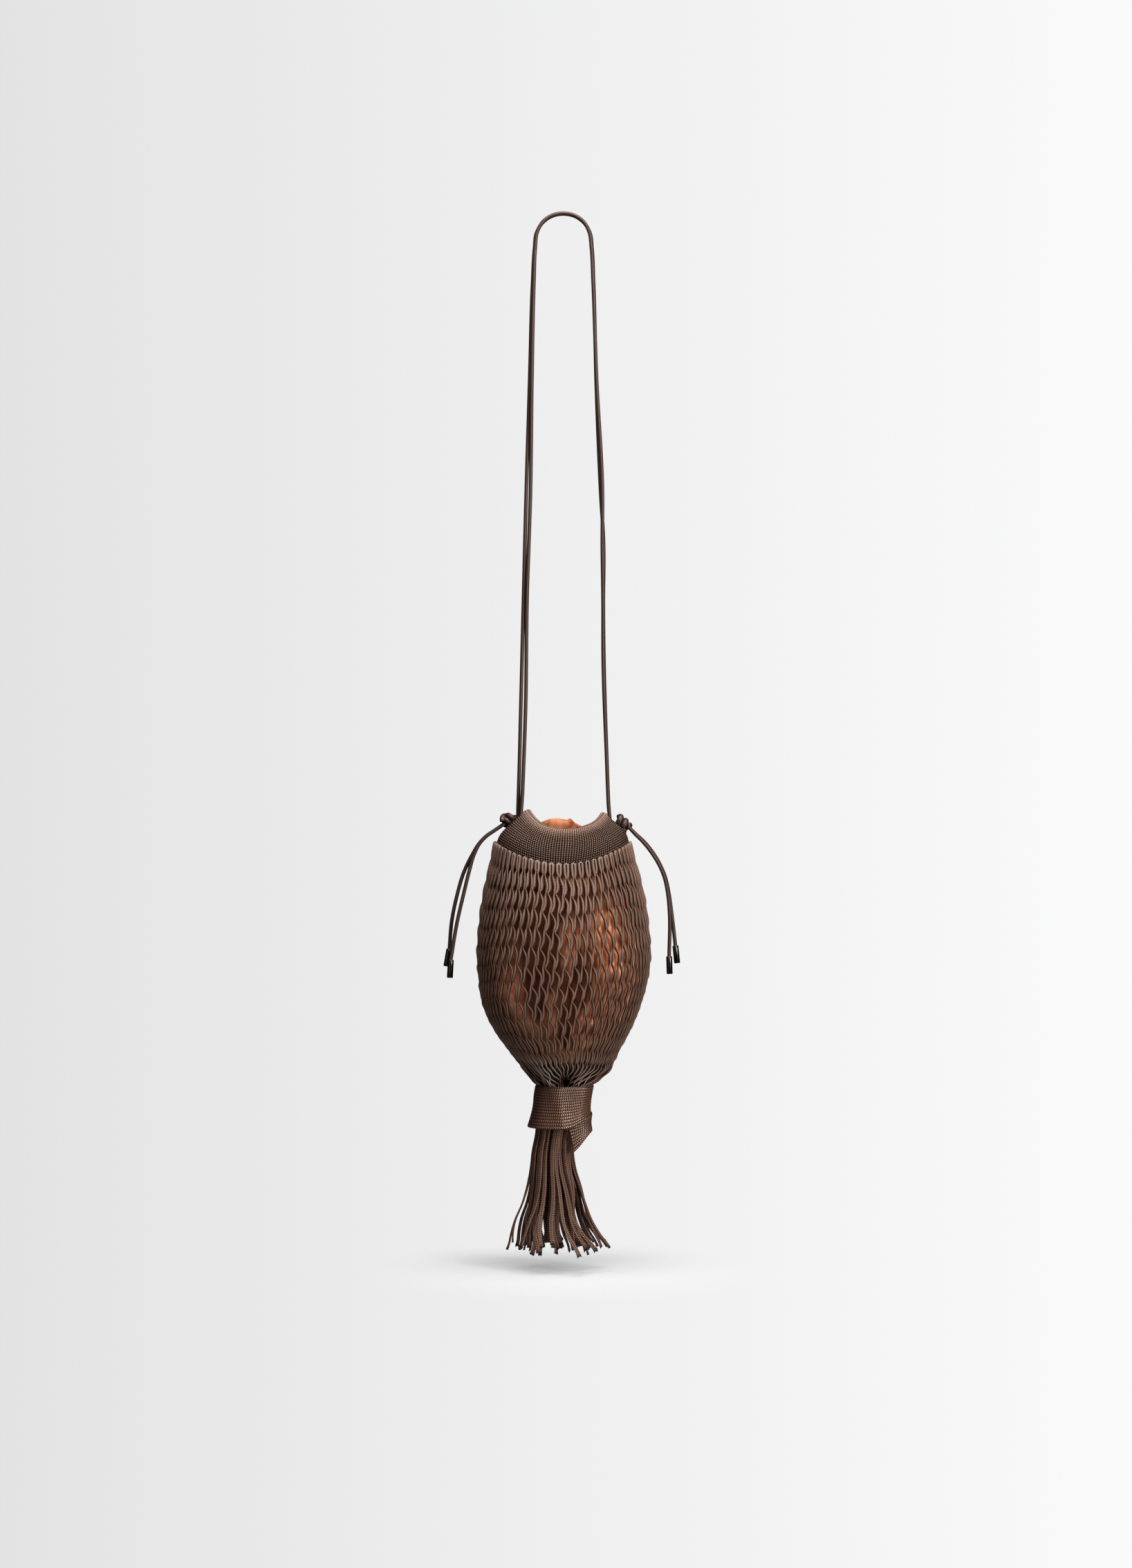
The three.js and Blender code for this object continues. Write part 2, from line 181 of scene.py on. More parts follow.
def make_piece(
    name: str, points: Array, faces: list[Index], maps: list[Array], painted_light_and_seal: Array | None = None
) -> bpy.types.Object:
    """A smooth mesh object at the origin.

    Args:
        name: the piece's name.
        points: its vertices in millimetres.
        faces: groups of faces, each an array of vertex indices.
        maps: the stitch map of each group's corners, in the same order.
        painted_light_and_seal: up to 1 for painted shade and heat-sealed ends, down to -1 for painted
            highlights.
    Returns:
        The object.
    """
    mesh = bpy.data.meshes.new(name)
    mesh.from_pydata((points * MM).tolist(), [], [face for group in faces for face in group.tolist()])
    layer = mesh.uv_layers.new(name=STITCH_MAP)
    corners = np.concatenate([group.reshape(-1, 2) for group in maps])
    layer.data.foreach_set("uv", corners.astype(np.float32).ravel())
    if painted_light_and_seal is not None:
        mesh.attributes.new(PAINTED_LIGHT_AND_SEAL, "FLOAT", "POINT").data.foreach_set("value", painted_light_and_seal.astype(np.float32))
    mesh.shade_smooth()
    mesh.update()
    piece = bpy.data.objects.new(name, mesh)
    bpy.context.scene.collection.objects.link(piece)
    LOG.info("%s: %d vertices, %d faces", name, len(mesh.vertices), len(mesh.polygons))
    return piece


def make_tubes(name: str, points: Array, stitch: Array, painted_light_and_seal: Array | None = None) -> bpy.types.Object:
    """Closed tubes of equal counts in one mesh: rings joined by quads, with a flat face on each end.

    Args:
        name: the piece's name.
        points: (tubes, steps, ring, 3) in millimetres.
        stitch: (tubes, steps, ring + 1, 2), the stitch map, with the seam's far side in the last place.
        painted_light_and_seal: (tubes, steps), for each ring: painted shade and sealed ends above 0, painted
            highlights below.
    Returns:
        The object.
    """
    tubes, steps, ring = points.shape[:3]
    corners = grid_corners(steps, ring, False, True)
    index = corners[..., 0] * ring + corners[..., 1] % ring
    first = np.arange(tubes)[:, None] * steps * ring
    sides = (index[None] + first[..., None]).reshape(-1, 4)
    head = first + np.arange(ring)
    foot = first + (steps - 1) * ring + np.arange(ring)[::-1]
    maps = [stitch[:, corners[..., 0], corners[..., 1]], stitch[:, 0, :ring], stitch[:, -1, :ring][:, ::-1]]
    tones = None if painted_light_and_seal is None else np.repeat(painted_light_and_seal.ravel(), ring)
    return make_piece(name, points.reshape(-1, 3), [sides, head, foot], maps, tones)


def make_ring(name: str, points: Array, stitch: Array, painted_light_and_seal: Array | None = None) -> bpy.types.Object:
    """A closed wall in the form of a ring: a grid that joins up both ways.

    Args:
        name: the piece's name.
        points: (rows, columns, 3) in millimetres, down the outside and up the inside.
        stitch: (rows + 1, columns + 1, 2), the stitch map.
        painted_light_and_seal: (rows, columns), for each point: painted shade above 0, painted highlights
            below.
    Returns:
        The object.
    """
    rows, columns = points.shape[:2]
    corners = grid_corners(rows, columns, True, True)
    index = corners[..., 0] % rows * columns + corners[..., 1] % columns
    maps = [stitch[corners[..., 0], corners[..., 1]]]
    return make_piece(name, points.reshape(-1, 3), [index], maps, None if painted_light_and_seal is None else painted_light_and_seal.ravel())


def cord_rings(
    line: Array, outward: Array, half_wide: Array, half_thick: Array, roll: Array, ring: int
) -> Array:
    """Oval rings along lines.

    A ring's long axis lies across the line and its short axis outwards. Both are turned by the roll about the
    line.

    Args:
        line: (..., steps, 3) centres.
        outward: a direction for each centre, not along the line.
        half_wide: half the ring's width.
        half_thick: half the ring's thickness.
        roll: the turn of each ring in radians.
        ring: points on each ring.
    Returns:
        (..., steps, ring, 3) points.
    """
    along = unit(np.gradient(line, axis=-2))
    across = unit(np.cross(along, outward))
    out = np.cross(across, along)
    turn = np.linspace(0, TURN, ring, endpoint=False)
    cos_roll = np.cos(roll)[..., None]
    sin_roll = np.sin(roll)[..., None]
    wide_axis = (across * cos_roll + out * sin_roll)[..., None, :]
    thick_axis = (out * cos_roll - across * sin_roll)[..., None, :]
    wide = (np.asarray(half_wide)[..., None] * np.cos(turn))[..., None]
    thick = (np.asarray(half_thick)[..., None] * np.sin(turn))[..., None]
    return line[..., None, :] + wide_axis * wide + thick_axis * thick


def add_node(tree: bpy.types.NodeTree, kind: str, inputs: dict | None = None, **settings) -> bpy.types.Node:
    """Adds one node.

    Args:
        tree: the node tree.
        kind: the node's type name.
        inputs: a value, or another node's output, for each socket's name or number.
        settings: the node's own settings.
    Returns:
        The node.
    """
    node = tree.nodes.new(kind)
    for name, value in settings.items():
        setattr(node, name, value)
    for socket, value in (inputs or {}).items():
        if isinstance(value, bpy.types.NodeSocket):
            tree.links.new(value, node.inputs[socket])
        else:
            node.inputs[socket].default_value = value
    return node


def new_material(name: str) -> tuple[bpy.types.Material, bpy.types.NodeTree]:
    """An empty node material and its tree."""
    material = bpy.data.materials.new(name)
    material.use_nodes = True
    material.node_tree.nodes.clear()
    return material, material.node_tree


def close_material(tree: bpy.types.NodeTree, shader: dict) -> None:
    """Ends a material with one principled shader with the given sockets."""
    surface = add_node(tree, "ShaderNodeBsdfPrincipled", shader)
    add_node(tree, "ShaderNodeOutputMaterial", {"Surface": surface.outputs[0]})


@dataclass(frozen=True)
class StitchedYarn:
    """Viscose yarn, braided or knitted: painted highlights on stitch crowns, painted near black shade in
    gaps.

    The stitch map has one stitch for each step of its second axis. Ribs are for each step of its first axis.
    Above 0 the attribute turns the yarn to its dark colour, for painted shade and the black of heat-sealed
    ends;
    below 0 it turns it to its pale colour, which is a painted highlight.
    """

    name: str
    gap: str
    crown: str
    sheen: float
    roughness: float
    ribs: float = 0.0
    rib_depth: float = 1.0
    stitch_depth: float = 1.0
    relief: float = 0.35
    narrow: float = 1.5
    gloss: float = 0.6
    patch: float = 18.0
    # Colour of painted shade, and of heat-sealed ends.
    painted_shade_and_seal: str = "#120b08"
    # Colour of painted highlights.
    pale: str = "#c4a190"

    def material(self) -> bpy.types.Material:
        """Colour and relief rise from the gaps to the crowns of the stitches, with slow changes of dye."""
        material, tree = new_material(self.name)
        stitch_map = add_node(tree, "ShaderNodeUVMap", uv_map=STITCH_MAP).outputs[0]
        wave = {"Vector": stitch_map, "Scale": ONE_WAVE, "Distortion": 0.7, "Detail": 1.0}
        wave["Detail Scale"] = 2.0
        wave_along = add_node(tree, "ShaderNodeTexWave", wave, bands_direction="Y").outputs["Fac"]
        length = {"Value": wave_along, "To Min": 1 - self.stitch_depth}
        height = add_node(tree, "ShaderNodeMapRange", length).outputs[0]
        if self.ribs:
            across = {"Vector": stitch_map, "Scale": ONE_WAVE * self.ribs}
            wave_across = add_node(tree, "ShaderNodeTexWave", across, bands_direction="X").outputs["Fac"]
            depth = {"Value": wave_across, "To Min": 1 - self.rib_depth}
            rib = add_node(tree, "ShaderNodeMapRange", depth).outputs[0]
            height = add_node(tree, "ShaderNodeMath", {0: height, 1: rib}, operation="MULTIPLY").outputs[0]
        place = add_node(tree, "ShaderNodeTexCoord").outputs["Object"]
        dye = {"Vector": place, "Scale": 1 / (self.patch * MM), "Detail": 3.0}
        dye_change = add_node(tree, "ShaderNodeTexNoise", dye).outputs[0]
        share = add_node(tree, "ShaderNodeMapRange", {"Value": dye_change, "To Max": 0.45}).outputs[0]
        yarn = {0: share, 6: to_linear(self.crown), 7: to_linear(self.gap)}
        dyed = add_node(tree, "ShaderNodeMix", yarn, data_type="RGBA").outputs[2]
        painted_light_and_seal = add_node(tree, "ShaderNodeAttribute", attribute_name=PAINTED_LIGHT_AND_SEAL).outputs["Fac"]
        # Painted highlight: below 0 the attribute turns the yarn pale, and fills the stitch gaps with it.
        highlight_share = add_node(tree, "ShaderNodeMath", {0: painted_light_and_seal, 1: -1.0}, operation="MULTIPLY").outputs[0]
        folds = {0: highlight_share, 6: dyed, 7: to_linear(self.pale)}
        paled = add_node(tree, "ShaderNodeMix", folds, data_type="RGBA").outputs[2]
        # Painted light: the crowns take a painted highlight, and the gaps and the ribs' sides painted shade.
        peaked = add_node(tree, "ShaderNodeMath", {0: height, 1: self.narrow}, operation="POWER").outputs[0]
        part = {0: highlight_share, 1: 0.3}
        filled = add_node(tree, "ShaderNodeMath", part, operation="MULTIPLY", use_clamp=True).outputs[0]
        lit = add_node(tree, "ShaderNodeMath", {0: peaked, 1: filled}, operation="ADD").outputs[0]
        stitches = {0: lit, 6: to_linear(self.gap), 7: paled}
        stitched = add_node(tree, "ShaderNodeMix", stitches, data_type="RGBA").outputs[2]
        # Painted shade, and the black of heat-sealed ends, where the attribute is above 0.
        ends = {0: painted_light_and_seal, 6: stitched, 7: to_linear(self.painted_shade_and_seal)}
        colour = add_node(tree, "ShaderNodeMix", ends, data_type="RGBA")
        raised = {"Strength": 0.9, "Distance": self.relief * MM, "Height": height}
        bump = add_node(tree, "ShaderNodeBump", raised)
        gloss = add_node(tree, "ShaderNodeMath", {0: height, 1: self.gloss}, operation="MULTIPLY").outputs[0]
        shader = {
            "Base Color": colour.outputs[2],
            "Roughness": self.roughness,
            "Specular IOR Level": gloss,
            "Specular Tint": to_linear("#f8e4d6"),
            "Sheen Weight": self.sheen,
            "Sheen Roughness": 0.4,
            "Sheen Tint": to_linear("#e8c9b4"),
            "Normal": bump.outputs[0],
        }
        close_material(tree, shader)
        return material


@dataclass(frozen=True)
class SuedeCloth:
    """Brushed suede cloth: matt, with a short nap that catches low light and lies in soft patches."""

    name: str
    deep: str
    raised: str
    # Colour of painted shade.
    painted_shade: str
    # Real nap is finer than half a millimetre. It is drawn coarser here, so that it shows.
    nap: float = 1.1
    patch: float = 16.0

    def material(self) -> bpy.types.Material:
        """Two browns mixed by slow patches, darkened by painted shade from an attribute, with the nap as
        relief.
        """
        material, tree = new_material(self.name)
        place = add_node(tree, "ShaderNodeTexCoord").outputs["Object"]
        lying = {"Vector": place, "Scale": 1 / (self.patch * MM), "Detail": 2.0, "Roughness": 0.5}
        clouds = add_node(tree, "ShaderNodeTexNoise", lying).outputs[0]
        spread = {"Value": clouds, "From Min": 0.34, "From Max": 0.66}
        patches = add_node(tree, "ShaderNodeMapRange", spread).outputs[0]
        fibres = {"Vector": place, "Scale": 1 / (self.nap * MM), "Detail": 2.0}
        nap = add_node(tree, "ShaderNodeTexNoise", fibres).outputs[0]
        tones = {0: patches, 6: to_linear(self.deep), 7: to_linear(self.raised)}
        brushed = add_node(tree, "ShaderNodeMix", tones, data_type="RGBA").outputs[2]
        # Painted shade, from the vertex attribute.
        painted_shade_mask = add_node(tree, "ShaderNodeAttribute", attribute_name=PAINTED_LIGHT_AND_SEAL).outputs["Fac"]
        painted_shade = {0: painted_shade_mask, 6: brushed, 7: to_linear(self.painted_shade)}
        colour = add_node(tree, "ShaderNodeMix", painted_shade, data_type="RGBA").outputs[2]
        raised = {"Strength": 0.35, "Distance": 0.2 * MM, "Height": nap}
        bump = add_node(tree, "ShaderNodeBump", raised).outputs[0]
        shader = {
            "Base Color": colour,
            "Roughness": 0.85,
            "Specular IOR Level": 0.05,
            "Sheen Weight": 0.03,
            "Sheen Roughness": 0.5,
            "Sheen Tint": to_linear("#d8a080"),
            "Normal": bump,
        }
        close_material(tree, shader)
        return material


@dataclass(frozen=True)
class WaxedCord:
    """Round braided cord, waxed: crossing plaits show as a fine diamond relief under a satin wax."""

    name: str
    hollow: str
    crown: str

    def material(self) -> bpy.types.Material:
        """Two crossing waves on the cord's map, one leaning each way, lower the plaits' gaps and paint shade
        in them.
        """
        material, tree = new_material(self.name)
        plait_map = add_node(tree, "ShaderNodeUVMap", uv_map=STITCH_MAP).outputs[0]
        turned = {"Vector": plait_map, "Scale": (-1.0, 1.0, 1.0)}
        mirrored = add_node(tree, "ShaderNodeMapping", turned).outputs[0]
        one = {"Vector": plait_map, "Scale": 2 * ONE_WAVE, "Distortion": 0.4}
        two = {"Vector": mirrored, "Scale": 2 * ONE_WAVE, "Distortion": 0.4}
        left = add_node(tree, "ShaderNodeTexWave", one, bands_direction="DIAGONAL").outputs["Fac"]
        right = add_node(tree, "ShaderNodeTexWave", two, bands_direction="DIAGONAL").outputs["Fac"]
        height = add_node(tree, "ShaderNodeMath", {0: left, 1: right}, operation="MULTIPLY").outputs[0]
        tones = {0: height, 6: to_linear(self.hollow), 7: to_linear(self.crown)}
        colour = add_node(tree, "ShaderNodeMix", tones, data_type="RGBA").outputs[2]
        raised = {"Strength": 0.6, "Distance": 0.2 * MM, "Height": height}
        bump = add_node(tree, "ShaderNodeBump", raised).outputs[0]
        shader = {
            "Base Color": colour,
            "Roughness": 0.38,
            "Specular IOR Level": 0.45,
            "Specular Tint": to_linear("#eccdb8"),
            "Normal": bump,
        }
        close_material(tree, shader)
        return material


@dataclass(frozen=True)
class BlackNickel:
    """Turned brass with a polished black nickel plating: a dark mirror with faint turning marks."""

    name: str
    colour: str
    # Real turning marks are about a tenth of a millimetre apart. They are drawn coarser, so that they show.
    mark: float = 0.4

    def material(self) -> bpy.types.Material:
        """A dark metal whose roughness changes a little with fine marks along the tip."""
        material, tree = new_material(self.name)
        place = add_node(tree, "ShaderNodeTexCoord").outputs["Object"]
        turned = {"Vector": place, "Scale": 1 / (self.mark * MM)}
        marks = add_node(tree, "ShaderNodeTexNoise", turned).outputs[0]
        polish = {"Value": marks, "To Min": 0.1, "To Max": 0.24}
        rough = add_node(tree, "ShaderNodeMapRange", polish).outputs[0]
        close_material(tree, {"Base Color": to_linear(self.colour), "Metallic": 1.0, "Roughness": rough})
        return material


def dress(piece: bpy.types.Object, material: bpy.types.Material, slot: Slot, *nodes: str) -> bpy.types.Object:
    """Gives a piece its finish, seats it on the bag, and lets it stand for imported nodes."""
    piece.data.materials.append(material)
    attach(piece, BODY)
    if nodes:
        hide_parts(*nodes)
    return piece


@dataclass(frozen=True)
class Sections:
    """A soft form as ovals one below the other.

    Each row is height, half width, half depth, sag and middle. The sag lowers front and back against the
    sides. Azimuth is 0 at the front and grows to the right. Distance runs down the front from the first row.
    """

    rows: tuple[tuple[float, ...], ...]

    def knots(self) -> Array:
        """Distance of each row down the front."""
        table = np.array(self.rows)
        return lengths_along(np.column_stack([table[:, 0] - table[:, 3], table[:, 2]]))

    def length(self) -> float:
        """Distance of the last row."""
        return float(self.knots()[-1])

    def read(self, distance: Array) -> Array:
        """The rows' columns at any distance."""
        return read_rows(self.knots(), np.array(self.rows), distance)

    def point(self, azimuth: Array, distance: Array, inset: Array | float) -> Array:
        """Points on the form, moved in by the inset.

        Across it is the middle plus the half width times the sine of the azimuth, in depth minus the half
        depth times its cosine, and in height the row's less the sag times the cosine's square.

        Args:
            azimuth: angle from the front in radians.
            distance: distance down the front.
            inset: how far inside the form.
        Returns:
            Points on a new last axis.
        """
        table = self.read(distance)
        x = table[..., 4] + (table[..., 1] - inset) * np.sin(azimuth)
        y = -(table[..., 2] - inset) * np.cos(azimuth)
        z = table[..., 0] - table[..., 3] * np.cos(azimuth) ** 2
        return np.stack(np.broadcast_arrays(x, y, z), axis=-1)


def wall_loop(length: float, wall: float, step: float) -> tuple[Array, Array, Array, Array]:
    """The section of a wall with round edges: down the outside, round the foot, up the inside, over the rim.

    Args:
        length: the wall's height along its outside.
        wall: its thickness.
        step: about how far apart the points lie.
    Returns:
        Each point's distance down and inset, and the two parts of the direction that points out of the wall.
    """
    half = wall / 2
    bend = np.linspace(0, math.pi, max(int(math.pi * half / step), 2), endpoint=False)
    run = np.linspace(0, length, int(length / step), endpoint=False)
    still = np.zeros_like(run)
    down = np.concatenate([run, length + half * np.sin(bend), length - run, -half * np.sin(bend)])
    inset = np.concatenate([still, half - half * np.cos(bend), still + wall, half + half * np.cos(bend)])
    out_down = np.concatenate([still, np.sin(bend), still, -np.sin(bend)])
    out_inset = np.concatenate([still - 1, -np.cos(bend), still + 1, np.cos(bend)])
    return down, inset, out_down, out_inset


def stitch_relief(wale: Array, course: Array, legs: int) -> Array:
    """Height of knit from 0 to 1: so many round legs on each wale, lowered between the courses."""
    across = 0.5 - 0.5 * np.cos(legs * TURN * wale)
    return across * (0.55 - 0.45 * np.cos(TURN * course))


def chevron(wale: Array, rise: float) -> Array:
    """How far a stitch leans: nothing at a wale's edges and the whole rise at its middle, evenly between."""
    return rise * (1 - np.abs(2 * (wale % 1) - 1))


@dataclass(frozen=True)
class Opening:
    """A place where the net is stretched or the lining bulges.

    Azimuth and its reach are in degrees. The other middle is a distance down the net, or a height on the
    lining. The amount is a share of the net's width, or how far the lining comes out.
    """

    azimuth: float
    middle: float
    wide: float
    tall: float
    amount: float

    def reach(self, azimuth: Array, down: Array) -> Array:
        """1 in the middle, and less round it both ways, by bell curves."""
        return facing(azimuth, self.azimuth, self.wide) * bell(down, self.middle, self.tall)


@dataclass
class BraidNet:
    """Open net: hairpins of braid round the collar's foot, whose legs are bound by turns to either neighbour.

    In each row of the net a leg lies against one neighbour, and below the binding it crosses to the other,
    so the gaps between bound pairs are lenses one row tall. At the front and the left, the legs of a row also
    bow to the right. A leg is turned with its face half out beside a neighbour and edge out at a binding.
    """

    sections: Sections = Sections((
        (-577.3, 63.9, 51.2, 18.5, -1.6), (-590, 66.4, 54.5, 15, -1.3), (-606, 70.5, 58.5, 11, -0.9),
        (-630, 75.6, 62.5, 6, -0.6), (-655, 78.8, 65, 2, -0.5), (-677, 80.4, 65.5, 0, -0.4),
        (-700, 78.6, 64, 0, -0.9), (-720, 74.6, 61, 0, -2.2), (-738, 68, 56.5, 0, -2.2),
        (-753, 60, 51, 0, -1.4), (-766, 51.6, 44.5, 0, -0.2), (-776, 45.4, 36.5, 0, 1.2),
        (-784, 39.8, 29.5, 0, 1.8), (-791.5, 32.6, 25, 0, 1.2), (-796.6, 27, 23.6, 0, 0.3),
        (-799, 24.2, 21.6, 0, 0), (-806, 23.8, 21.2, 0, -0.6),
    ))
    openings: tuple[Opening, ...] = (
        Opening(33, 64, 16, 36, 0.34),
        Opening(-34, 122, 17, 30, 0.34),
        Opening(0.6, 78, 3.2, 7, 0.6),
    )
    hairpins: int = 64
    half_wide: float = 1.55
    half_thick: float = 0.85
    inset: float = 1.1
    arch: float = 1.5
    first_row: float = 11.4
    row: float = 16.2
    stitch: float = 1.35
    slant: float = 0.75
    # Between the two legs of a pair, halfway down a row and at a binding.
    pair_gap: float = 1.36
    bound_gap: float = 0.85
    # How far a row bows, in hairpins: at the front and the left, and at the right.
    bow: float = 0.25
    bow_right: float = 0.04
    # How deep a binding is pulled in, and how much painted shade darkens it.
    bound_depth: float = 0.7
    bound_shade: float = 0.18
    face_turn: float = math.radians(65)
    hollow: float = 14.0
    # How far one leg of each hairpin is buried in the gather.
    layer: float = 3.6
    core_height: float = 50.0
    core_steps: int = 24
    # How dark the core is painted, as shade.
    core_shade: float = 0.6
    leg_steps: int = 148
    arch_steps: int = 9
    ring: int = 8

    def low(self, distance: Array, start: float, full: float) -> Array:
        """Smooth step towards the ribbon, from 0 to 1 between two places counted up from the net's end."""
        end = self.sections.length()
        return ease(distance, end - start, end - full)

    def azimuth(self, place: Array, distance: Array) -> Array:
        """Angle of a place among the hairpins.

        Even steps round the bag, wider apart at the front, stretched at the openings, and swept towards the
        front just above the ribbon.

        Args:
            place: hairpins from the first one, halves and quarters included.
            distance: distance down the net.
        Returns:
            Angles from the front in radians.
        """
        even = TURN * (place - (self.hairpins - 1) / 2) / self.hairpins
        tight = -0.08 - 0.18 * ease(distance, 20, 135) + 0.12 * ease(distance, 140, 200)
        angle = even - tight * np.sin(2 * even) / 2
        for spot in self.openings:
            away = angle - math.radians(spot.azimuth)
            angle = angle + spot.amount * away * spot.reach(angle, distance)
        swept = 0.62 * self.low(distance, 32, 4)
        return angle - swept * angle * facing(angle, 0, 50)

    def surface(self, place: Array, distance: Array, lift: Array | float = 0.0) -> Array:
        """Middle surface of the net, with pleats above the ribbon and a hollow at the front where they meet.

        Args:
            place: place among the hairpins.
            distance: distance down the net.
            lift: how far outside that surface.
        Returns:
            Points on a new last axis.
        """
        angle = self.azimuth(place, distance)
        dip = self.hollow * facing(angle, 2, 19) * bell(distance, self.sections.length() - 10, 11)
        gathered = self.low(distance, 38, 18) * (1 - self.low(distance, 13, 7))
        pleats = 2.4 * np.cos(9 * angle + 1) * gathered
        lumps = 0.4 * np.sin(0.39 * distance + 5 * angle)
        lumps = lumps * ease(distance, 12, 40) * (1 - self.low(distance, 30, 8))
        return self.sections.point(angle, distance, self.inset + dip + pleats + lumps - lift)

    def binding(self, place: Array, distance: Array) -> tuple[Array, Array, Array, Array]:
        """How a leg lies in the rows of the net.

        Args:
            place: place among the hairpins, which shifts the rows a little up and down.
            distance: distance down the net.
        Returns:
            The neighbour it lies against, from 1 inside its hairpin to -1 outside; how far its face is turned
            to that neighbour, with 0 at a binding; how tight the pair is, with 1 at a binding; and how far
            the pair bows out between two bindings, with 1 halfway.
        """
        shift = 2.4 * np.sin(0.5 * place + 0.02 * distance) + 0.9 * np.sin(1.9 * place - 0.05 * distance + 1)
        rows = (distance + shift - self.first_row) / self.row + 1
        number = np.floor(rows)
        part = rows - number
        inside = 1 - 2 * (number % 2)
        hold = inside * (2 * ease(part, 0, 0.56) - 1)
        face = inside * ease(part, 0, 0.3) * (1 - ease(part, 0.88, 1))
        tight = np.maximum(ease(part, 0.72, 1), 1 - ease(part, 0, 0.25))
        return hold, face, tight, np.sin(math.pi * part) ** 1.2

    def painted_light_and_seal(self, angle: Array, distance: Array, bound: Array, buried: Array) -> Array:
        """Painted shade and painted highlights of the braids.

        Shade is painted in the hollow, low at the sides, at the bindings, where a leg is buried, and in three
        shaded places. Highlights are painted over the arches, a little below them, and in the gather above
        the ribbon.

        Args:
            angle: angles from the front in radians.
            distance: distance down the net.
            bound: how tight a pair is bound, with 1 at a binding.
            buried: how far a leg lies under the others, with 1 for the whole layer.
        Returns:
            Up to 0.9 for painted shade, and down to -1 for painted highlights.
        """
        top = 1 - ease(distance, 20, 75)
        dark = facing(angle, 2, 20) * bell(distance, self.sections.length() - 10, 9)
        dark = dark + 0.6 * self.beside(angle) * self.low(distance, 45, 20)
        dark = dark + self.bound_shade * bound
        dark = dark + 0.2 * facing(angle, 48, 28) * top
        dark = dark + 0.14 * facing(angle, -48, 28) * top
        dark = dark + 0.14 * facing(angle, 40, 28) * bell(distance, 128, 34)
        pale = 0.75 * self.low(distance, 46, 28) + 0.2 * (1 - ease(distance, 10, 90))
        pale = pale + 0.3 * (1 - ease(distance, -0.5, 2))
        return np.clip(1.5 * buried + 1.2 * dark - pale, -1, 0.9)

    def beside(self, angle: Array) -> Array:
        """0 at the front and the back of the bag, and 1 at its sides."""
        return ease(np.sin(angle) ** 2, 0.35, 0.85)

    def half(self, name: str, pins: Array) -> bpy.types.Object:
        """Tubes up one leg, over the arch and down the other leg.

        Args:
            name: the piece's name.
            pins: the numbers of its hairpins.
        Returns:
            The object.
        """
        leg = np.linspace(self.sections.length(), 0, self.leg_steps)
        over = np.linspace(0, math.pi, self.arch_steps + 2)[1:-1]
        distance = np.concatenate([leg, -self.arch * np.sin(over), leg[::-1]])
        side = np.concatenate([np.full(self.leg_steps, -1.0), -np.cos(over), np.ones(self.leg_steps)])
        place = pins[:, None] + np.zeros_like(distance)
        distance = np.zeros_like(place) + distance
        angle = self.azimuth(place, distance)
        beside = self.beside(angle)
        slim = ease(distance, 10, 120)
        step = self.surface(place + 0.5, distance) - self.surface(place - 0.5, distance)
        pitch = np.linalg.norm(step, axis=-1)
        crowd = 1 - np.clip((pitch / 4 - 0.6) / 0.55, 0, 1)

        # Legs stand a quarter of a hairpin from its middle, and swing to either neighbour down to the gather.
        quarter = 0.25
        hold, face, tight, bow = self.binding(place + side * quarter, distance)
        gather = self.low(distance, 28, 14)
        in_rows = ease(distance, 0.4 * self.first_row, self.first_row) * (1 - gather)
        pair_gap = self.pair_gap - 0.2 * slim - 0.3 * beside
        gap = pair_gap - (pair_gap - self.bound_gap) * tight
        swing = np.maximum(quarter - gap / pitch, 0.005) * hold * in_rows
        bowed = self.bow - (self.bow - self.bow_right) * ease(angle, math.radians(-4), math.radians(28))
        wander = 0.035 * np.sin(0.11 * distance + 1.7 * place + 2.1 * side) * ease(distance, 5, 30)
        tangle = 0.4 * np.sin(0.5 * distance + 2.4 * place) * gather
        wander = wander + tangle * (1 - self.low(distance, 12, 6))
        wander = wander + bowed * ease(distance, 10, 24) * (1 - gather) * bow
        here = place + side * (quarter - swing) + wander

        # Crowded legs lie by turns over and under each other.
        buried = self.low(distance, 40, 24) * (1 + side) / 2
        lift = 0.5 * crowd * side * np.cos(math.pi * place) + 0.25 * np.abs(face) - 0.2
        lift = lift - self.layer * buried - self.bound_depth * tight * in_rows
        line = self.surface(here, distance, lift)
        right = self.surface(here + 0.05, distance, lift) - self.surface(here - 0.05, distance, lift)
        down = self.surface(here, distance + 0.5, lift) - self.surface(here, distance - 0.5, lift)
        turned = face * (1 - crowd) * (1 - self.low(distance, 42, 24)) * (1 - 0.5 * beside)
        roll = math.pi / 2 - self.face_turn * turned
        wide = self.half_wide - 0.2 * slim - 0.12 * self.low(distance, 80, 40) - 0.35 * beside * slim
        thick = self.half_thick - 0.2 * self.low(distance, 60, 30) - 0.22 * beside
        points = cord_rings(line, np.cross(down, right), wide, thick, roll, self.ring)

        around = np.linspace(0, TURN, self.ring + 1)
        run = lengths_along(line)[..., None] / self.stitch - self.slant * side[:, None] * np.cos(around)
        outwards = (around + roll[..., None]) / TURN
        stitch = np.stack(np.broadcast_arrays(outwards, run), axis=-1)
        # Painted shade and painted highlights go on the braids as a vertex attribute.
        return make_tubes(name, points, stitch, self.painted_light_and_seal(angle, distance, tight**2 * in_rows, buried))

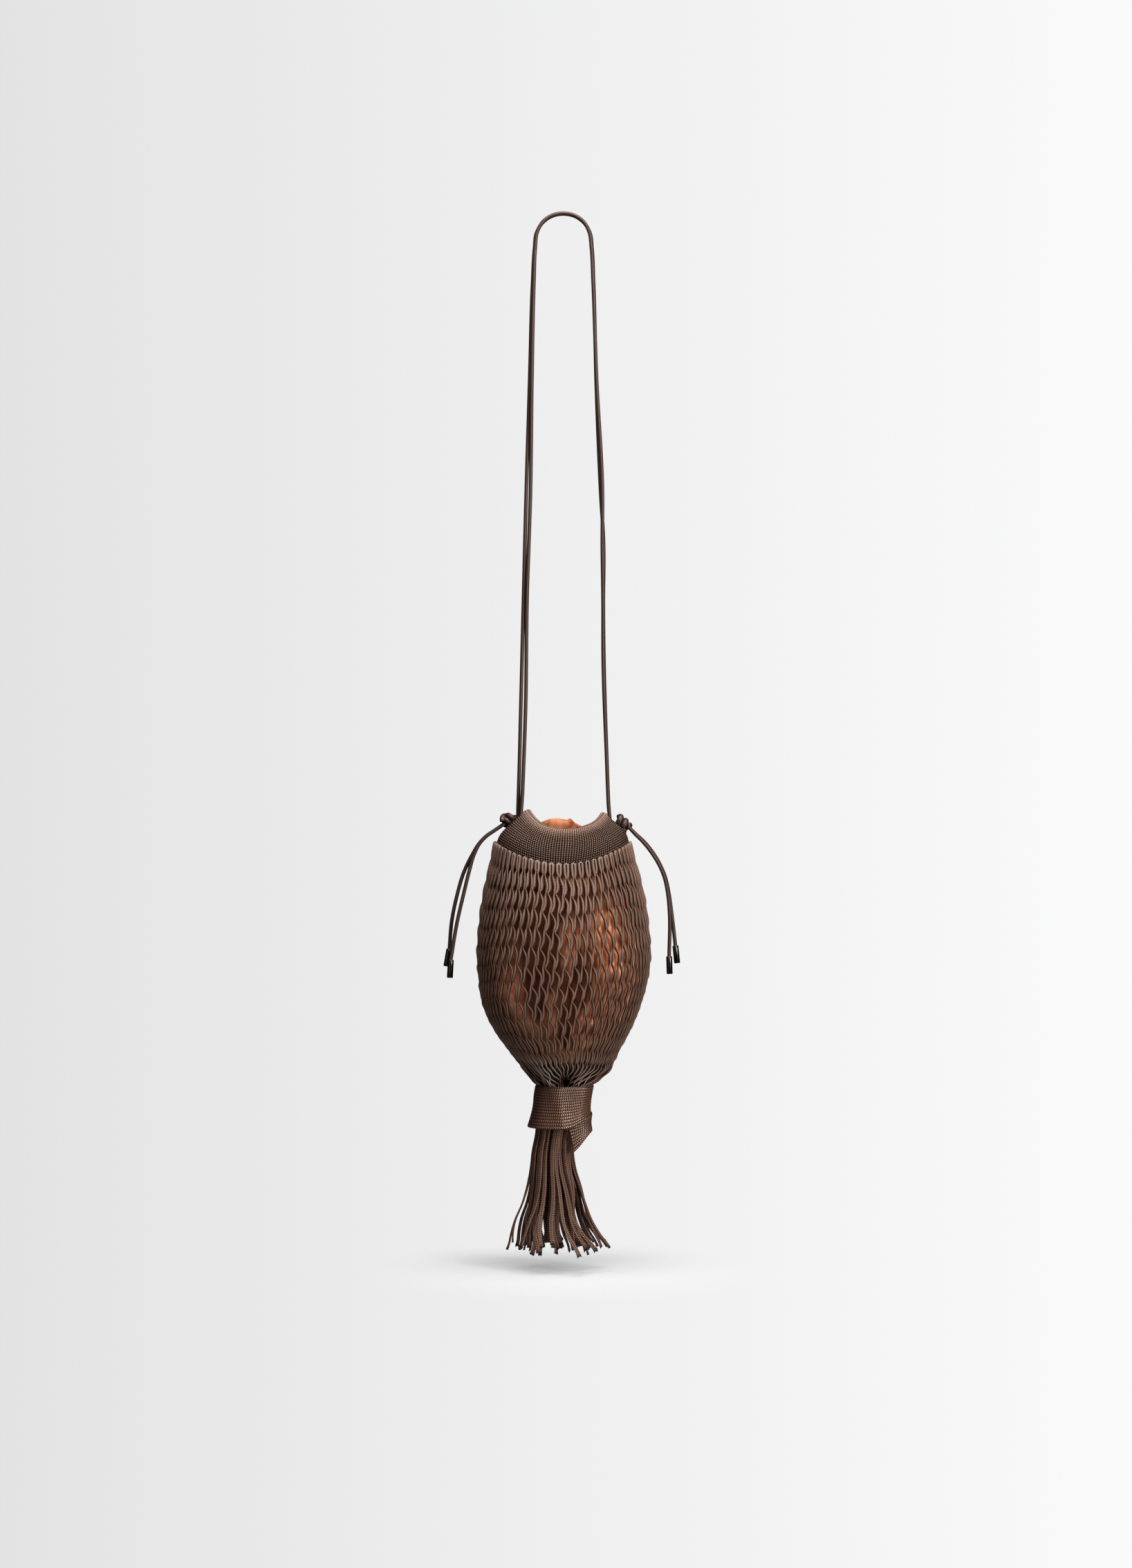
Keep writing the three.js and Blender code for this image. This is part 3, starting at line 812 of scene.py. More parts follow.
    def bunch(self) -> bpy.types.Object:
        """Braids gathered out of sight above the ribbon, as one core behind the hollow, painted dark as
        shade.
        """
        end = self.sections.length()
        distance = np.linspace(end - self.core_height, end, self.core_steps)[:, None]
        place = np.arange(2 * self.hairpins + 1) / 2
        front = facing(self.azimuth(place[None, :-1], distance), 0, 55)
        upper = 1 - self.low(distance, self.core_height, 26)
        inward = 1.8 + 5.2 * front + (8.2 + 0.8 * front) * upper
        inward = inward + 7 * front * (1 - self.low(distance, 34, 18))
        points = self.surface(place[None, :-1], distance, -inward)
        stitch = np.stack(np.broadcast_arrays(place, distance / self.stitch), axis=-1)
        shade = np.full((1, self.core_steps), self.core_shade)
        return make_tubes("net_gather", points[None], stitch[None], shade)

    def build(self, yarn: bpy.types.Material) -> None:
        """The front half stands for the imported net, and the back half and the gathered core go with it."""
        pins = np.arange(self.hairpins, dtype=float)
        quarter = self.hairpins // 4
        front = self.half("net_front", pins[quarter : 3 * quarter])
        back = self.half("net_back", np.concatenate([pins[3 * quarter :], pins[:quarter]]))
        dress(front, yarn, Slot.BRAID, "net_pouch")
        dress(back, yarn, Slot.BRAID)
        dress(self.bunch(), yarn, Slot.BRAID)


@dataclass
class KnitCollar:
    """Knitted tube folded at its rim: wales run down from the rim to the net, and courses run round it."""

    sections: Sections = Sections((
        (-546.3, 36.4, 27, 17.8, 1.2), (-547.6, 38, 28.8, 18, 1), (-553, 43.3, 34, 18.6, 0.6),
        (-560.5, 51.3, 40.5, 19, 0), (-568.5, 57.9, 46, 19, -0.8), (-577, 60.8, 48, 18.6, -1.4),
        (-583.5, 61.6, 49, 18, -1.5),
    ))
    wales: int = 160
    steps_in_wale: int = 4
    steps_in_course: int = 3
    course: float = 2.0
    wall: float = 3.2
    relief: float = 0.45
    lean: float = -0.5
    rim: float = 0.8
    # How far the rim is lowered between front and sides, and how far more at the right.
    dip: float = 2.6
    droop: float = 2.7
    flat: tuple[float, float] = (0.36, 0.047)

    def build(self, yarn: bpy.types.Material) -> None:
        """The wall's loop carried round the bag, with knit relief, a rolled rim and a lowered right side."""
        step = self.course / self.steps_in_course
        down, inset, out_down, out_inset = wall_loop(self.sections.length(), self.wall, step)
        count = len(down)
        columns = self.wales * self.steps_in_wale
        wale = np.arange(columns + 1) / self.steps_in_wale
        course = np.arange(count + 1) / count * round(count / self.steps_in_course)
        leaned = course[:, None] + chevron(wale / 2, self.lean)
        relief = self.relief * stitch_relief(wale[:-1], leaned[:-1, :-1], 1)
        distance = down[:, None] + relief * out_down[:, None]
        depth = inset[:, None] + relief * out_inset[:, None]
        even = TURN * wale[:-1] / self.wales
        spread = 0.38 - 0.45 * ease(distance, 0, self.sections.length())
        rolled = bell(distance, 1.2, 2.4)
        depth = depth - self.rim * rolled * np.sign(self.wall / 2 - depth)
        azimuth = even + spread * np.sin(2 * even) / 2
        points = self.sections.point(azimuth, distance, depth)
        lowered = self.dip * np.sin(2 * azimuth) ** 2 + self.droop * ease(np.sin(azimuth), 0.5, 1)
        points[..., 2] -= lowered * (1 - ease(distance, 2, 24))
        stitch = np.stack(np.broadcast_arrays(wale, leaned), axis=-1)
        # Painted light: a painted highlight over the rolled rim, and painted shade lower down towards the
        # net.
        painted_light_and_seal = 0.35 * ease(distance, 12, 30) - 0.5 * (1 - ease(distance, 0, 11))
        collar = dress(make_ring("collar_knit", points, stitch, painted_light_and_seal), yarn, Slot.KNIT, "collar")


@dataclass
class SuedeLining:
    """Gathered pouch of suede inside the net: it puffs up in the collar and hangs in soft folds."""

    sections: Sections = Sections((
        (-561, 8, 5.6, -3, -2.6), (-558, 11.5, 7.4, -2.6, -2.6), (-557.2, 15.5, 10.6, -2.2, -2.6),
        (-558.8, 20.2, 14.6, -1, -2.6), (-562.6, 25, 18.6, 2, -2.2), (-567.6, 37.5, 25.5, 7.5, -1),
        (-573.5, 49.5, 34.5, 12, -1), (-583.5, 58, 45.4, 18, -1.5), (-594, 60.5, 48.6, 14, -1.4),
        (-608, 65, 52.5, 9, -1), (-630, 70, 56.5, 5, -0.6), (-655, 73, 59, 2, -0.5),
        (-677, 74.6, 59.8, 0, -0.4), (-700, 73, 58.5, 0, -0.9), (-720, 69, 55.5, 0, -2),
        (-738, 62, 50.5, 0, -2), (-752, 53.5, 44, 0, -1.4), (-763, 43.5, 36, 0, -0.6),
        (-772, 34, 29, 0, 0), (-779, 22, 19, 0, 0), (-784, 10, 9, 0, 0),
    ))
    bulges: tuple[Opening, ...] = (
        Opening(26, -655, 17, 36, 6.4), Opening(46, -690, 12, 34, 5.2), Opening(-50, -715, 13, 22, 2.8),
        Opening(-10, -722, 7, 20, 4), Opening(20, -752, 20, 22, 6.2), Opening(-24, -750, 16, 18, 4),
        Opening(3, -668, 8, 26, 3.2),
    )
    slack: float = 7.5
    # How strong the painted shade in the folds is.
    painted_shade: float = 0.93
    # Azimuth of the crease in the puff, in radians.
    crease: float = 0.8
    rows: int = 150
    columns: int = 288
    wall: float = 1.2
    foot: float = -785.5
    flat: tuple[float, float] = (0.42, 0.235)

    def folds(self, azimuth: Array, distance: Array) -> Array:
        """How far the cloth falls in: pleats and a pinch at the mouth, and slack folds down the body."""
        mouth = 1 - ease(distance, 12, 40)
        pleats = 0.35 * mouth * np.cos(17 * azimuth + 0.6 * np.sin(3 * azimuth))
        pinch = 3.4 * facing(azimuth, 46, 7) * (1 - ease(distance, 16, 26))
        height = self.sections.read(distance)[..., 0]
        body = ease(-height, 585, 615) * (1 - ease(-height, 755, 774))
        wave = np.cos(11 * azimuth + 0.022 * distance) + 0.8 * np.cos(7 * azimuth - 0.035 * distance + 1.2)
        slack = (self.slack + 1.1 * wave) * (0.15 + 0.85 * np.cos(azimuth) ** 2)
        for bulge in self.bulges:
            slack = slack - bulge.amount * bulge.reach(azimuth, height)
        return pleats + pinch + body * np.maximum(slack, 0.3)

    def puff(self, azimuth: Array, across: Array) -> Array:
        """How far the cloth rises in the mouth: a lobe, a nose, a crease, and a fall to the right."""
        nose = 2.1 * facing(azimuth, 33, 8) - 3.0 * bell(azimuth, self.crease, 0.12)
        nose = nose - 1.1 * facing(azimuth, 16, 10)
        return nose + 1.9 * bell(across, -12, 9) - 2.6 * ease(across, 6, 15)

    def shade(self, azimuth: Array, distance: Array, folds: Array) -> Array:
        """Painted shade on the nap: in folds, in the puff's crease and foot, under the collar, and low in the
        bag.

        Args:
            azimuth: angle from the front in radians.
            distance: distance down the front.
            folds: how far the cloth falls in.
        Returns:
            0 where no shade is painted, and up to 1 for the darkest painted shade.
        """
        height = self.sections.read(distance)[..., 0]
        under_collar = ease(distance, 30, 55)
        folded = np.clip((folds - 1.3) / 3.8, 0, 1) * self.painted_shade * under_collar
        puff = 0.54 + 0.24 * ease(distance, 7, 16) + 0.4 * bell(azimuth, self.crease, 0.1)
        dark = folded + np.minimum(puff, 1) * (1 - ease(distance, 20, 40))
        upper = under_collar * (1 - ease(-height, 612, 644))
        dark = np.maximum(dark, upper * (0.9 - 0.7 * bell(azimuth, 0.2, 0.35)))
        low = ease(-height, 764 + 4 * np.sin(5 * azimuth + 1), 781)
        return np.maximum(dark, 0.95 * low)

    def build(self, suede: bpy.types.Material) -> None:
        """Rows from inside the mouth down to the foot, closed there by a fan, with a wall inwards."""
        distance = np.linspace(0, self.sections.length(), self.rows)[:, None]
        azimuth = np.arange(self.columns)[None] * TURN / self.columns - math.pi
        folds = self.folds(azimuth, distance)
        points = self.sections.point(azimuth, distance, folds)
        points[..., 2] += self.puff(azimuth, points[..., 0]) * (1 - ease(distance, 8, 22))
        points = points.reshape(-1, 3)
        corners = grid_corners(self.rows, self.columns, False, True)
        sides = corners[..., 0] * self.columns + corners[..., 1] % self.columns
        last = (self.rows - 1) * self.columns + np.arange(self.columns)
        foot = np.column_stack([np.full(self.columns, len(points)), np.roll(last, -1), last])
        points = np.vstack([points, [[0.0, 0.0, self.foot]]])
        maps = [corners / self.columns, np.zeros((self.columns, 3, 2))]
        # The painted shade goes on as a vertex attribute.
        shade = np.append(self.shade(azimuth, distance, folds).ravel(), 0.0)
        lining = make_piece("lining_suede", points, [sides, foot], maps, shade)
        solid = lining.modifiers.new("wall", "SOLIDIFY")
        solid.thickness = self.wall * MM
        solid.offset = -1
        dress(lining, suede, Slot.LINING, "lining_pouch")


@dataclass
class WrapRibbon:
    """Knitted ribbon wound round the gathered net, and its folded end at the lower right."""

    sections: Sections = Sections((
        (-799.4, 26.8, 24.4, 0, 0.2), (-806, 26.8, 24.6, 0, -1), (-818, 26.8, 25, 0, -2.4),
        (-826, 27.9, 25.8, 0, -3.6), (-831.6, 29.2, 26.6, 0, -4.4),
    ))
    end_stations: tuple[tuple[float, ...], ...] = (
        (16.5, 14.4, -827.4, 17, 13, -839), (22.6, 8, -827.6, 22.6, 7.4, -840),
        (25.2, -1, -828.4, 25.2, -1.6, -840.4), (23.6, -10, -830.4, 23.8, -10.2, -841.6),
        (17.6, -15.8, -833, 19, -15.4, -847.2), (10, -18.2, -833.6, 13.8, -17.4, -853.6),
        (2.6, -19.2, -833.4, 9, -18, -858.4),
    )
    wale: float = 2.35
    stitches: int = 86
    steps: int = 4
    wall: float = 2.2
    relief: float = 0.32
    lean: float = 0.6
    rise: float = 11.0
    drop: float = 4.0
    ridge: float = 1.6
    facet: float = 1.2
    end_wall: float = 1.8
    end_wales: int = 10
    end_stitches: int = 22
    crease: float = 1.3
    tucked: float = 5.0
    flat: tuple[float, float] = (0.165, 0.035)
    end_flat: tuple[float, float] = (0.06, 0.018)

    def band(self) -> bpy.types.Object:
        """The wound part: its lower edge rises at the right and the back, and a ridge runs down its front."""
        length = self.sections.length()
        down, inset, out_down, out_inset = wall_loop(length, self.wall, self.wale / self.steps)
        count = len(down)
        wale = np.arange(count + 1) / count * round(count / self.steps)
        columns = self.stitches * self.steps
        stitch = np.arange(columns + 1) / self.steps
        leaned = stitch + chevron(wale, self.lean)[:, None]
        relief = self.relief * stitch_relief(wale[:-1, None], leaned[:-1, :-1], 2)
        distance = down[:, None] + relief * out_down[:, None]
        depth = inset[:, None] + relief * out_inset[:, None]
        azimuth = TURN * stitch[:-1] / self.stitches
        front = (azimuth + math.pi) % TURN - math.pi
        crest = math.radians(-18) + 0.45 * distance / length
        depth = depth - self.ridge * facing(front - crest, 0, 15) + self.facet * facing(front, 24, 24)
        points = self.sections.point(azimuth + np.zeros_like(distance), distance, depth)
        share = np.clip(distance / length, 0, 1)
        rise = ease(front, math.radians(8), math.radians(85))
        rise = rise + ease(-front, math.radians(90), math.radians(150))
        points[..., 2] += (self.rise * rise - self.drop) * share**2
        pattern = np.stack(np.broadcast_arrays(wale[:, None], leaned), axis=-1)
        return make_ring("ribbon_wrap", points, pattern)

    def end(self) -> bpy.types.Object:
        """The loose end: lines between its upper and lower edge, bowed along the crease, thin and flat."""
        stations = np.array(self.end_stations)
        along = np.linspace(0, len(stations) - 1, self.end_stitches * self.steps + 1)
        edges = read_rows(np.arange(len(stations), dtype=float), stations, along)
        edges[:, 2] += self.tucked
        face = np.linspace(0, 1, self.end_wales * self.steps + 1)
        share = np.concatenate([face, face[-2:0:-1]])
        front = np.concatenate([np.ones(len(face)), -np.ones(len(face) - 2)])
        middle = edges[:, None, :3] * (1 - share)[:, None] + edges[:, None, 3:] * share[:, None]
        outward = unit(np.cross(edges[:, 3:] - edges[:, :3], np.gradient(edges[:, :3], axis=0)))[:, None]
        wale = share * self.end_wales
        stitch = along / along[-1] * self.end_stitches
        leaned = stitch[:, None] + chevron(wale, self.lean)
        half = self.end_wall / 2 * np.sqrt(1 - (2 * share - 1) ** 10)
        relief = self.relief * stitch_relief(wale, leaned, 2) * np.sin(math.pi * share) ** 0.3
        bow = self.crease * np.sin(math.pi * share)
        points = middle + outward * (bow + front * (half + relief))[..., None]
        pattern = np.stack(np.broadcast_arrays(wale, leaned), axis=-1)
        pattern = np.concatenate([pattern, pattern[:, :1]], axis=1)
        return make_tubes("ribbon_end", points[None], pattern[None])

    def build(self, yarn: bpy.types.Material) -> None:
        """Both parts of the ribbon."""
        band = dress(self.band(), yarn, Slot.RIBBON, "wrap_band")
        end = dress(self.end(), yarn, Slot.RIBBON, "wrap_tail")


@dataclass
class BraidTassel:
    """Tassel of cut braids: four rings of them inside the ribbon, which spread below it and end unevenly."""

    sections: Sections = Sections((
        (-807, 22, 20, 0, -1.2), (-810, 23.8, 21.7, 0, -1.4), (-819, 22.8, 21.2, 0, -3.2),
        (-830, 20, 18, 0, -6.4), (-843, 18, 16, 0, -9), (-860, 19.2, 16.4, 0, -11),
        (-874, 21, 18, 0, -10.8), (-894, 26.4, 22.5, 0, -9.4), (-908, 30.6, 26, 0, -9.4),
        (-922, 36.2, 30.5, 0, -10), (-934, 41.5, 35, 0, -8.4), (-944, 46.4, 39, 0, -5.6),
        (-956, 52, 43, 0, -4.5),
    ))
    rings: tuple[tuple[int, float], ...] = ((26, 0.95), (24, 0.76), (16, 0.5), (8, 0.2))
    half_wide: float = 1.95
    half_thick: float = 1.05
    groove: float = 0.4
    stitch: float = 1.7
    slant: float = 0.5
    steps: int = 80
    ring: int = 10
    seed: int = 11

    def build(self, yarn: bpy.types.Material) -> None:
        """Each braid keeps its share of the tassel's width on its way down, with its own drift and end."""
        random = np.random.default_rng(self.seed)
        count = sum(number for number, _ in self.rings)
        share = np.concatenate([np.full(number, part) for number, part in self.rings])
        angle = np.concatenate([np.arange(number) * TURN / number + part for number, part in self.rings])
        angle += random.normal(0, 0.06, count)
        end = self.sections.length() - random.uniform(4, 17, count) - 2 * (1 - share)
        along = np.linspace(0, 1, self.steps)
        distance = end[:, None] * along
        drift = random.normal(0, 0.26, count)[:, None] * along**3
        loose = random.uniform(-0.3, 0.14, count)[:, None] * ease(along, 0.35, 1)
        bend = random.normal(0, 0.03, count)[:, None] * np.sin(TURN * along * 1.2 + angle[:, None])
        table = self.sections.read(distance)
        part = share[:, None] + loose + bend
        turned = angle[:, None] + drift
        x = table[..., 4] + table[..., 1] * part * np.sin(turned)
        y = -table[..., 2] * part * np.cos(turned)
        line = np.stack([x, y, table[..., 0]], axis=-1)
        outward = np.stack([np.sin(turned), -np.cos(turned), 0.1 + 0 * turned], axis=-1)
        sealed = 1 - ease(end[:, None] - distance, 0.4, 3.2)
        swell = 1 + 0.18 * sealed
        roll = random.normal(0, 0.35, count)[:, None] + random.normal(0, 0.5, count)[:, None] * along**2
        wide = self.half_wide * swell
        points = cord_rings(line, outward, wide, self.half_thick * swell, roll, self.ring)
        around = np.linspace(0, TURN, self.ring + 1)
        middle = line[..., None, :]
        dent = 1 - self.groove * bell(np.cos(around[:-1]), 0, 0.35)[:, None]
        points = middle + (points - middle) * dent
        ragged = random.normal(0, 0.7, (count, self.ring))
        points[:, -1, :, 2] += ragged
        run = lengths_along(line)[..., None] / self.stitch + self.slant * np.abs(np.cos(around)) * 2
        stitch = np.stack(np.broadcast_arrays(around / TURN, run), axis=-1)
        dress(make_tubes("tassel_braids", points, stitch, sealed), yarn, Slot.FRINGE, "tassel")


@dataclass
class DrawCord:
    """One length of round waxed cord along a route of given points."""

    name: str
    node: str
    route: tuple[Point, ...]
    diameter: float = 3.5
    step: float = 2.2
    ring: int = 12
    plait: float = 3.2
    plaits: int = 6

    def build(self, wax: bpy.types.Material) -> tuple[bpy.types.Object, Array]:
        """A round tube on the route, with its plaits on the stitch map, and its centreline in metres."""
        line = smooth_route(self.route, self.step)
        outward = np.broadcast_to(np.array([0.0, 1.0, 0.0]), line.shape)
        radius = np.full(len(line), self.diameter / 2)
        points = cord_rings(line, outward, radius, radius, np.zeros(len(line)), self.ring)
        around = np.linspace(0, self.plaits, self.ring + 1)
        run = lengths_along(line)[:, None] / self.plait * 2
        stitch = np.stack(np.broadcast_arrays(around, run), axis=-1)
        cord = dress(make_tubes(self.name, points[None], stitch[None]), wax, Slot.CORD, self.node)
        return cord, line * MM


@dataclass
class CordKnot:
    """Overhand knot of the doubled cord, drawn tight: coils round its long axis and a turn across them."""

    side: Side
    middle: Point
    half_long: float = 7.9
    half_deep: float = 6.4
    half_thick: float = 5.3
    radius: float = 2.5
    turns: float = 2.1
    steps: int = 120
    ring: int = 12
    plait: float = 1.6
    plaits: int = 6
    axis: tuple[float, float] = (0.75, -0.66)

    def build(self, wax: bpy.types.Material) -> bpy.types.Object:
        """Two tubes: a flattened helix for the coils, and a slow half turn over them from end to end."""
        long = np.array([self.side.value * self.axis[0], 0.0, self.axis[1]])
        deep = np.array([0.0, 1.0, 0.0])
        thick = np.cross(long, deep)
        share = np.linspace(0, 1, self.steps)
        reach = self.half_long - self.radius
        turn = TURN * self.turns * share + 0.6
        swell = 1 + 0.12 * np.sin(math.pi * share)
        coil = (
            (reach * (2 * share - 1))[:, None] * long
            + ((self.half_deep - self.radius) * swell * np.cos(turn))[:, None] * deep
            + ((self.half_thick - self.radius) * swell * np.sin(turn))[:, None] * thick
        )
        slow = math.pi * (1.15 + 1.1 * share)
        cross = (
            (reach * 0.95 * (1 - 2 * share))[:, None] * long
            + (self.half_deep * 0.8 * np.cos(slow))[:, None] * deep
            + (self.half_thick * 0.95 * np.sin(slow))[:, None] * thick
        )
        lines = np.stack([coil, cross]) + np.array(self.middle)
        outward = lines - np.array(self.middle)
        outward = outward - (outward @ long)[..., None] * long
        radius = np.full(lines.shape[:2], self.radius)
        points = cord_rings(lines, outward, radius, radius, np.zeros_like(radius), self.ring)
        around = np.linspace(0, self.plaits, self.ring + 1)
        run = lengths_along(lines)[..., None] / self.plait
        stitch = np.stack(np.broadcast_arrays(around, run), axis=-1)
        name = self.side.name.lower()
        return dress(make_tubes(f"cord_knot_{name}", points, stitch), wax, Slot.CORD, f"knot_{name}")


@dataclass
class CordTip:
    """Turned metal tube on a cord's end: a bead at its mouth, a fine groove and straight sides."""

    name: str
    node: str
    top: Point
    foot: Point
    radius: float = 2.8
    ring: int = 40

    def build(self, metal: bpy.types.Material) -> bpy.types.Object:
        """The radius at given shares of the tip's length, carried round its axis."""
        top = np.array(self.top)
        foot = np.array(self.foot)
        profile = np.array([
            (0.0, 0.66), (0.0, 0.9), (0.012, 1.0), (0.045, 1.03), (0.07, 1.0), (0.08, 0.955), (0.095, 0.955),
            (0.105, 0.985), (0.12, 1.0), (0.5, 1.0), (0.96, 1.0), (0.985, 0.975), (0.997, 0.9), (1.0, 0.8),
        ])
        line = top + (foot - top) * profile[:, :1]
        along = unit(foot - top)
        across = unit(np.cross(along, np.array([0.0, 1.0, 0.0])))
        out = np.cross(across, along)
        turn = np.linspace(0, TURN, self.ring, endpoint=False)
        spoke = np.cos(turn)[:, None] * across + np.sin(turn)[:, None] * out
        points = line[:, None] + spoke * (profile[:, 1] * self.radius)[:, None, None]
        around = np.linspace(0, 1, self.ring + 1)
        stitch = np.stack(np.broadcast_arrays(around, profile[:, :1]), axis=-1)
        return dress(make_tubes(self.name, points[None], stitch[None]), metal, Slot.TIP, self.node)


@dataclass(frozen=True)
class CordTail:
    """A loose end of the drawcord: where it runs from its knot, and the lower end of its metal tip."""

    name: str
    route: tuple[Point, ...]
    foot: Point
    length: float


@dataclass
class DrawCordSet:
    """The doubled drawcord: two lengths over the top, a knot on either side, and four tipped tails."""

    back: tuple[Point, ...] = (
        (-42.6, 1.95, -550.6), (-42.5, 1.95, -545), (-42.1, 1.6, -533), (-41.3, 0.8, -507), (-40, 0.3, -456),
        (-37.5, 1.2, -354.5), (-34.9, 0.8, -253), (-31.8, 1.7, -151.5), (-29, 1.9, -60), (-27.3, 1.95, -30),
        (-25.4, 1.95, -15.4), (-19.6, 1.95, -5.9), (-10.7, 1.95, 0), (-0.9, 1.95, 1.75), (8.9, 1.95, 0),
        (17.8, 1.95, -5.9), (23.5, 1.95, -15.4), (25.5, 1.95, -30), (26.9, 1.95, -60), (29.3, 1.95, -151.5),
        (33.4, 1.95, -253), (36.2, 1.95, -304), (35.9, 1.95, -354.5), (36.4, 1.95, -405), (39.4, 1.95, -507),
        (40.4, 1.95, -534), (40.8, 1.95, -542), (41.3, 1.95, -548),
    )
    front: tuple[Point, ...] = (
        (-39.6, -1.95, -548), (-39.2, -1.95, -543), (-38.5, -1.7, -533), (-37.4, -0.9, -507),
        (-35.6, -0.3, -456), (-34.2, -1.2, -354.5), (-31, -0.8, -253), (-29.7, -1.7, -151.5),
        (-27.8, -1.9, -60), (-26.6, -1.95, -30), (-24.8, -1.95, -15.4), (-19.4, -1.95, -5.9),
        (-10.7, -1.95, 0), (-0.9, -1.95, 1.75), (8.9, -1.95, 0), (17.6, -1.95, -5.9), (22.9, -1.95, -15.4),
        (24.9, -1.95, -30), (26.4, -1.95, -60), (29.7, -1.95, -151.5), (35, -1.95, -253), (34.9, -1.95, -304),
        (35.6, -1.95, -354.5), (35.7, -1.95, -405), (39.2, -1.95, -507), (40.2, -1.95, -534),
        (40.6, -1.95, -542), (41.1, -1.95, -547.8),
    )
    tails: tuple[CordTail, ...] = (
        CordTail("left_outer", (
            (-57.2, 2, -560.1), (-64.1, 2.1, -564.8), (-71.1, 2.2, -569.5), (-78.3, 2.2, -577),
            (-85, 2.2, -588), (-91.4, 2.4, -601), (-98.7, 2.8, -625), (-103.4, 3.3, -648),
            (-105.6, 3.6, -673.5),
        ), (-108.4, 3.8, -689.7), 0.135),
        CordTail("left_inner", (
            (-57.2, -2, -560.1), (-64.1, -2.1, -564.8), (-70.9, -2.2, -569.5), (-77.8, -2.2, -576.8),
            (-83, -2.2, -587.4), (-87.2, -2.3, -602), (-92.2, -2.6, -622.5), (-98.2, -3.1, -648.6),
            (-104, -3.6, -683),
        ), (-104.9, -3.7, -699.9), 0.141),
        CordTail("right_outer", (
            (60.6, 2, -563.1), (66.2, 2.1, -568.6), (72, 2.2, -573.8), (80.6, 2.2, -584), (87.1, 2.3, -594.5),
            (92.4, 2.4, -606.5), (96, 2.5, -622), (98.6, 2.6, -640), (102.1, 2.7, -670.3),
        ), (103.8, 2.8, -686.8), 0.128),
        CordTail("right_inner", (
            (60.6, -2, -563.1), (66, -2.1, -568.9), (71.6, -2.2, -574.4), (80, -2.2, -584.8),
            (86.4, -2.3, -595), (91.5, -2.4, -606.5), (94.9, -2.5, -622), (96.6, -2.6, -641),
            (96.2, -2.8, -679.9),
        ), (96.7, -2.8, -696.4), 0.134),
    )
    knot_left: Point = (-51.3, 0, -554.5)
    knot_right: Point = (53.4, 0, -558.4)
    # Half length, half depth, half thickness and cord radius of the fuller knot at the right.
    right_form: tuple[float, ...] = (9.0, 6.8, 6.2, 2.8)
    strap_length: float = 1.12
    diameter: float = 3.5
    # How far the ends of tails and straps run on, out of sight in knots, tips and collar.
    sunk: float = 3.0
    strap_sunk: float = 6.5
    tip_gap: float = 0.4

    def run_on(self, route: tuple[Point, ...], start: float, end: float) -> tuple[Point, ...]:
        """The route with both its ends drawn out straight by the given lengths."""
        points = np.array(route)
        first = points[0] + start * unit(points[0] - points[1])
        last = points[-1] + end * unit(points[-1] - points[-2])
        return tuple(map(tuple, np.vstack([first, points, last]).tolist()))

    def build(self, wax: bpy.types.Material, metal: bpy.types.Material) -> None:
        """Straps, then knots, then each tail with its tip."""
        for name, route in (("back", self.back), ("front", self.front)):
            drawn = self.run_on(route, self.strap_sunk, self.strap_sunk)
            strap, line = DrawCord(f"strap_{name}", f"strap_cord_{name}", drawn).build(wax)
        knots = {
            "left_outer": [CordKnot(Side.LEFT, self.knot_left).build(wax)],
            "right_outer": [CordKnot(Side.RIGHT, self.knot_right, *self.right_form).build(wax)],
        }
        for tail in self.tails:
            end = np.array(tail.route[-1])
            top = end + self.tip_gap * unit(np.array(tail.foot) - end)
            tip = CordTip(f"metal_tip_{tail.name}", f"tip_{tail.name}", tuple(top), tail.foot).build(metal)
            drawn = self.run_on(tail.route, self.sunk, self.sunk)
            cord, line = DrawCord(f"cord_{tail.name}", f"tail_{tail.name}", drawn).build(wax)


@dataclass(frozen=True)
class StudioLamp:
    """One soft white rectangular lamp: its place, target and sides in metres, and its power."""

    name: str
    place: Point
    target: Point
    size: tuple[float, float]
    power: float

    def hang(self) -> None:
        """Makes the lamp, hidden from the camera."""
        data = bpy.data.lights.new(self.name, "AREA")
        data.shape = "RECTANGLE"
        data.size, data.size_y = self.size
        data.energy = self.power
        lamp = bpy.data.objects.new(self.name, data)
        lamp.location = self.place
        lamp.rotation_euler = (Vector(self.target) - Vector(self.place)).to_track_quat("-Z", "Y").to_euler()
        lamp.visible_camera = False
        bpy.context.scene.collection.objects.link(lamp)


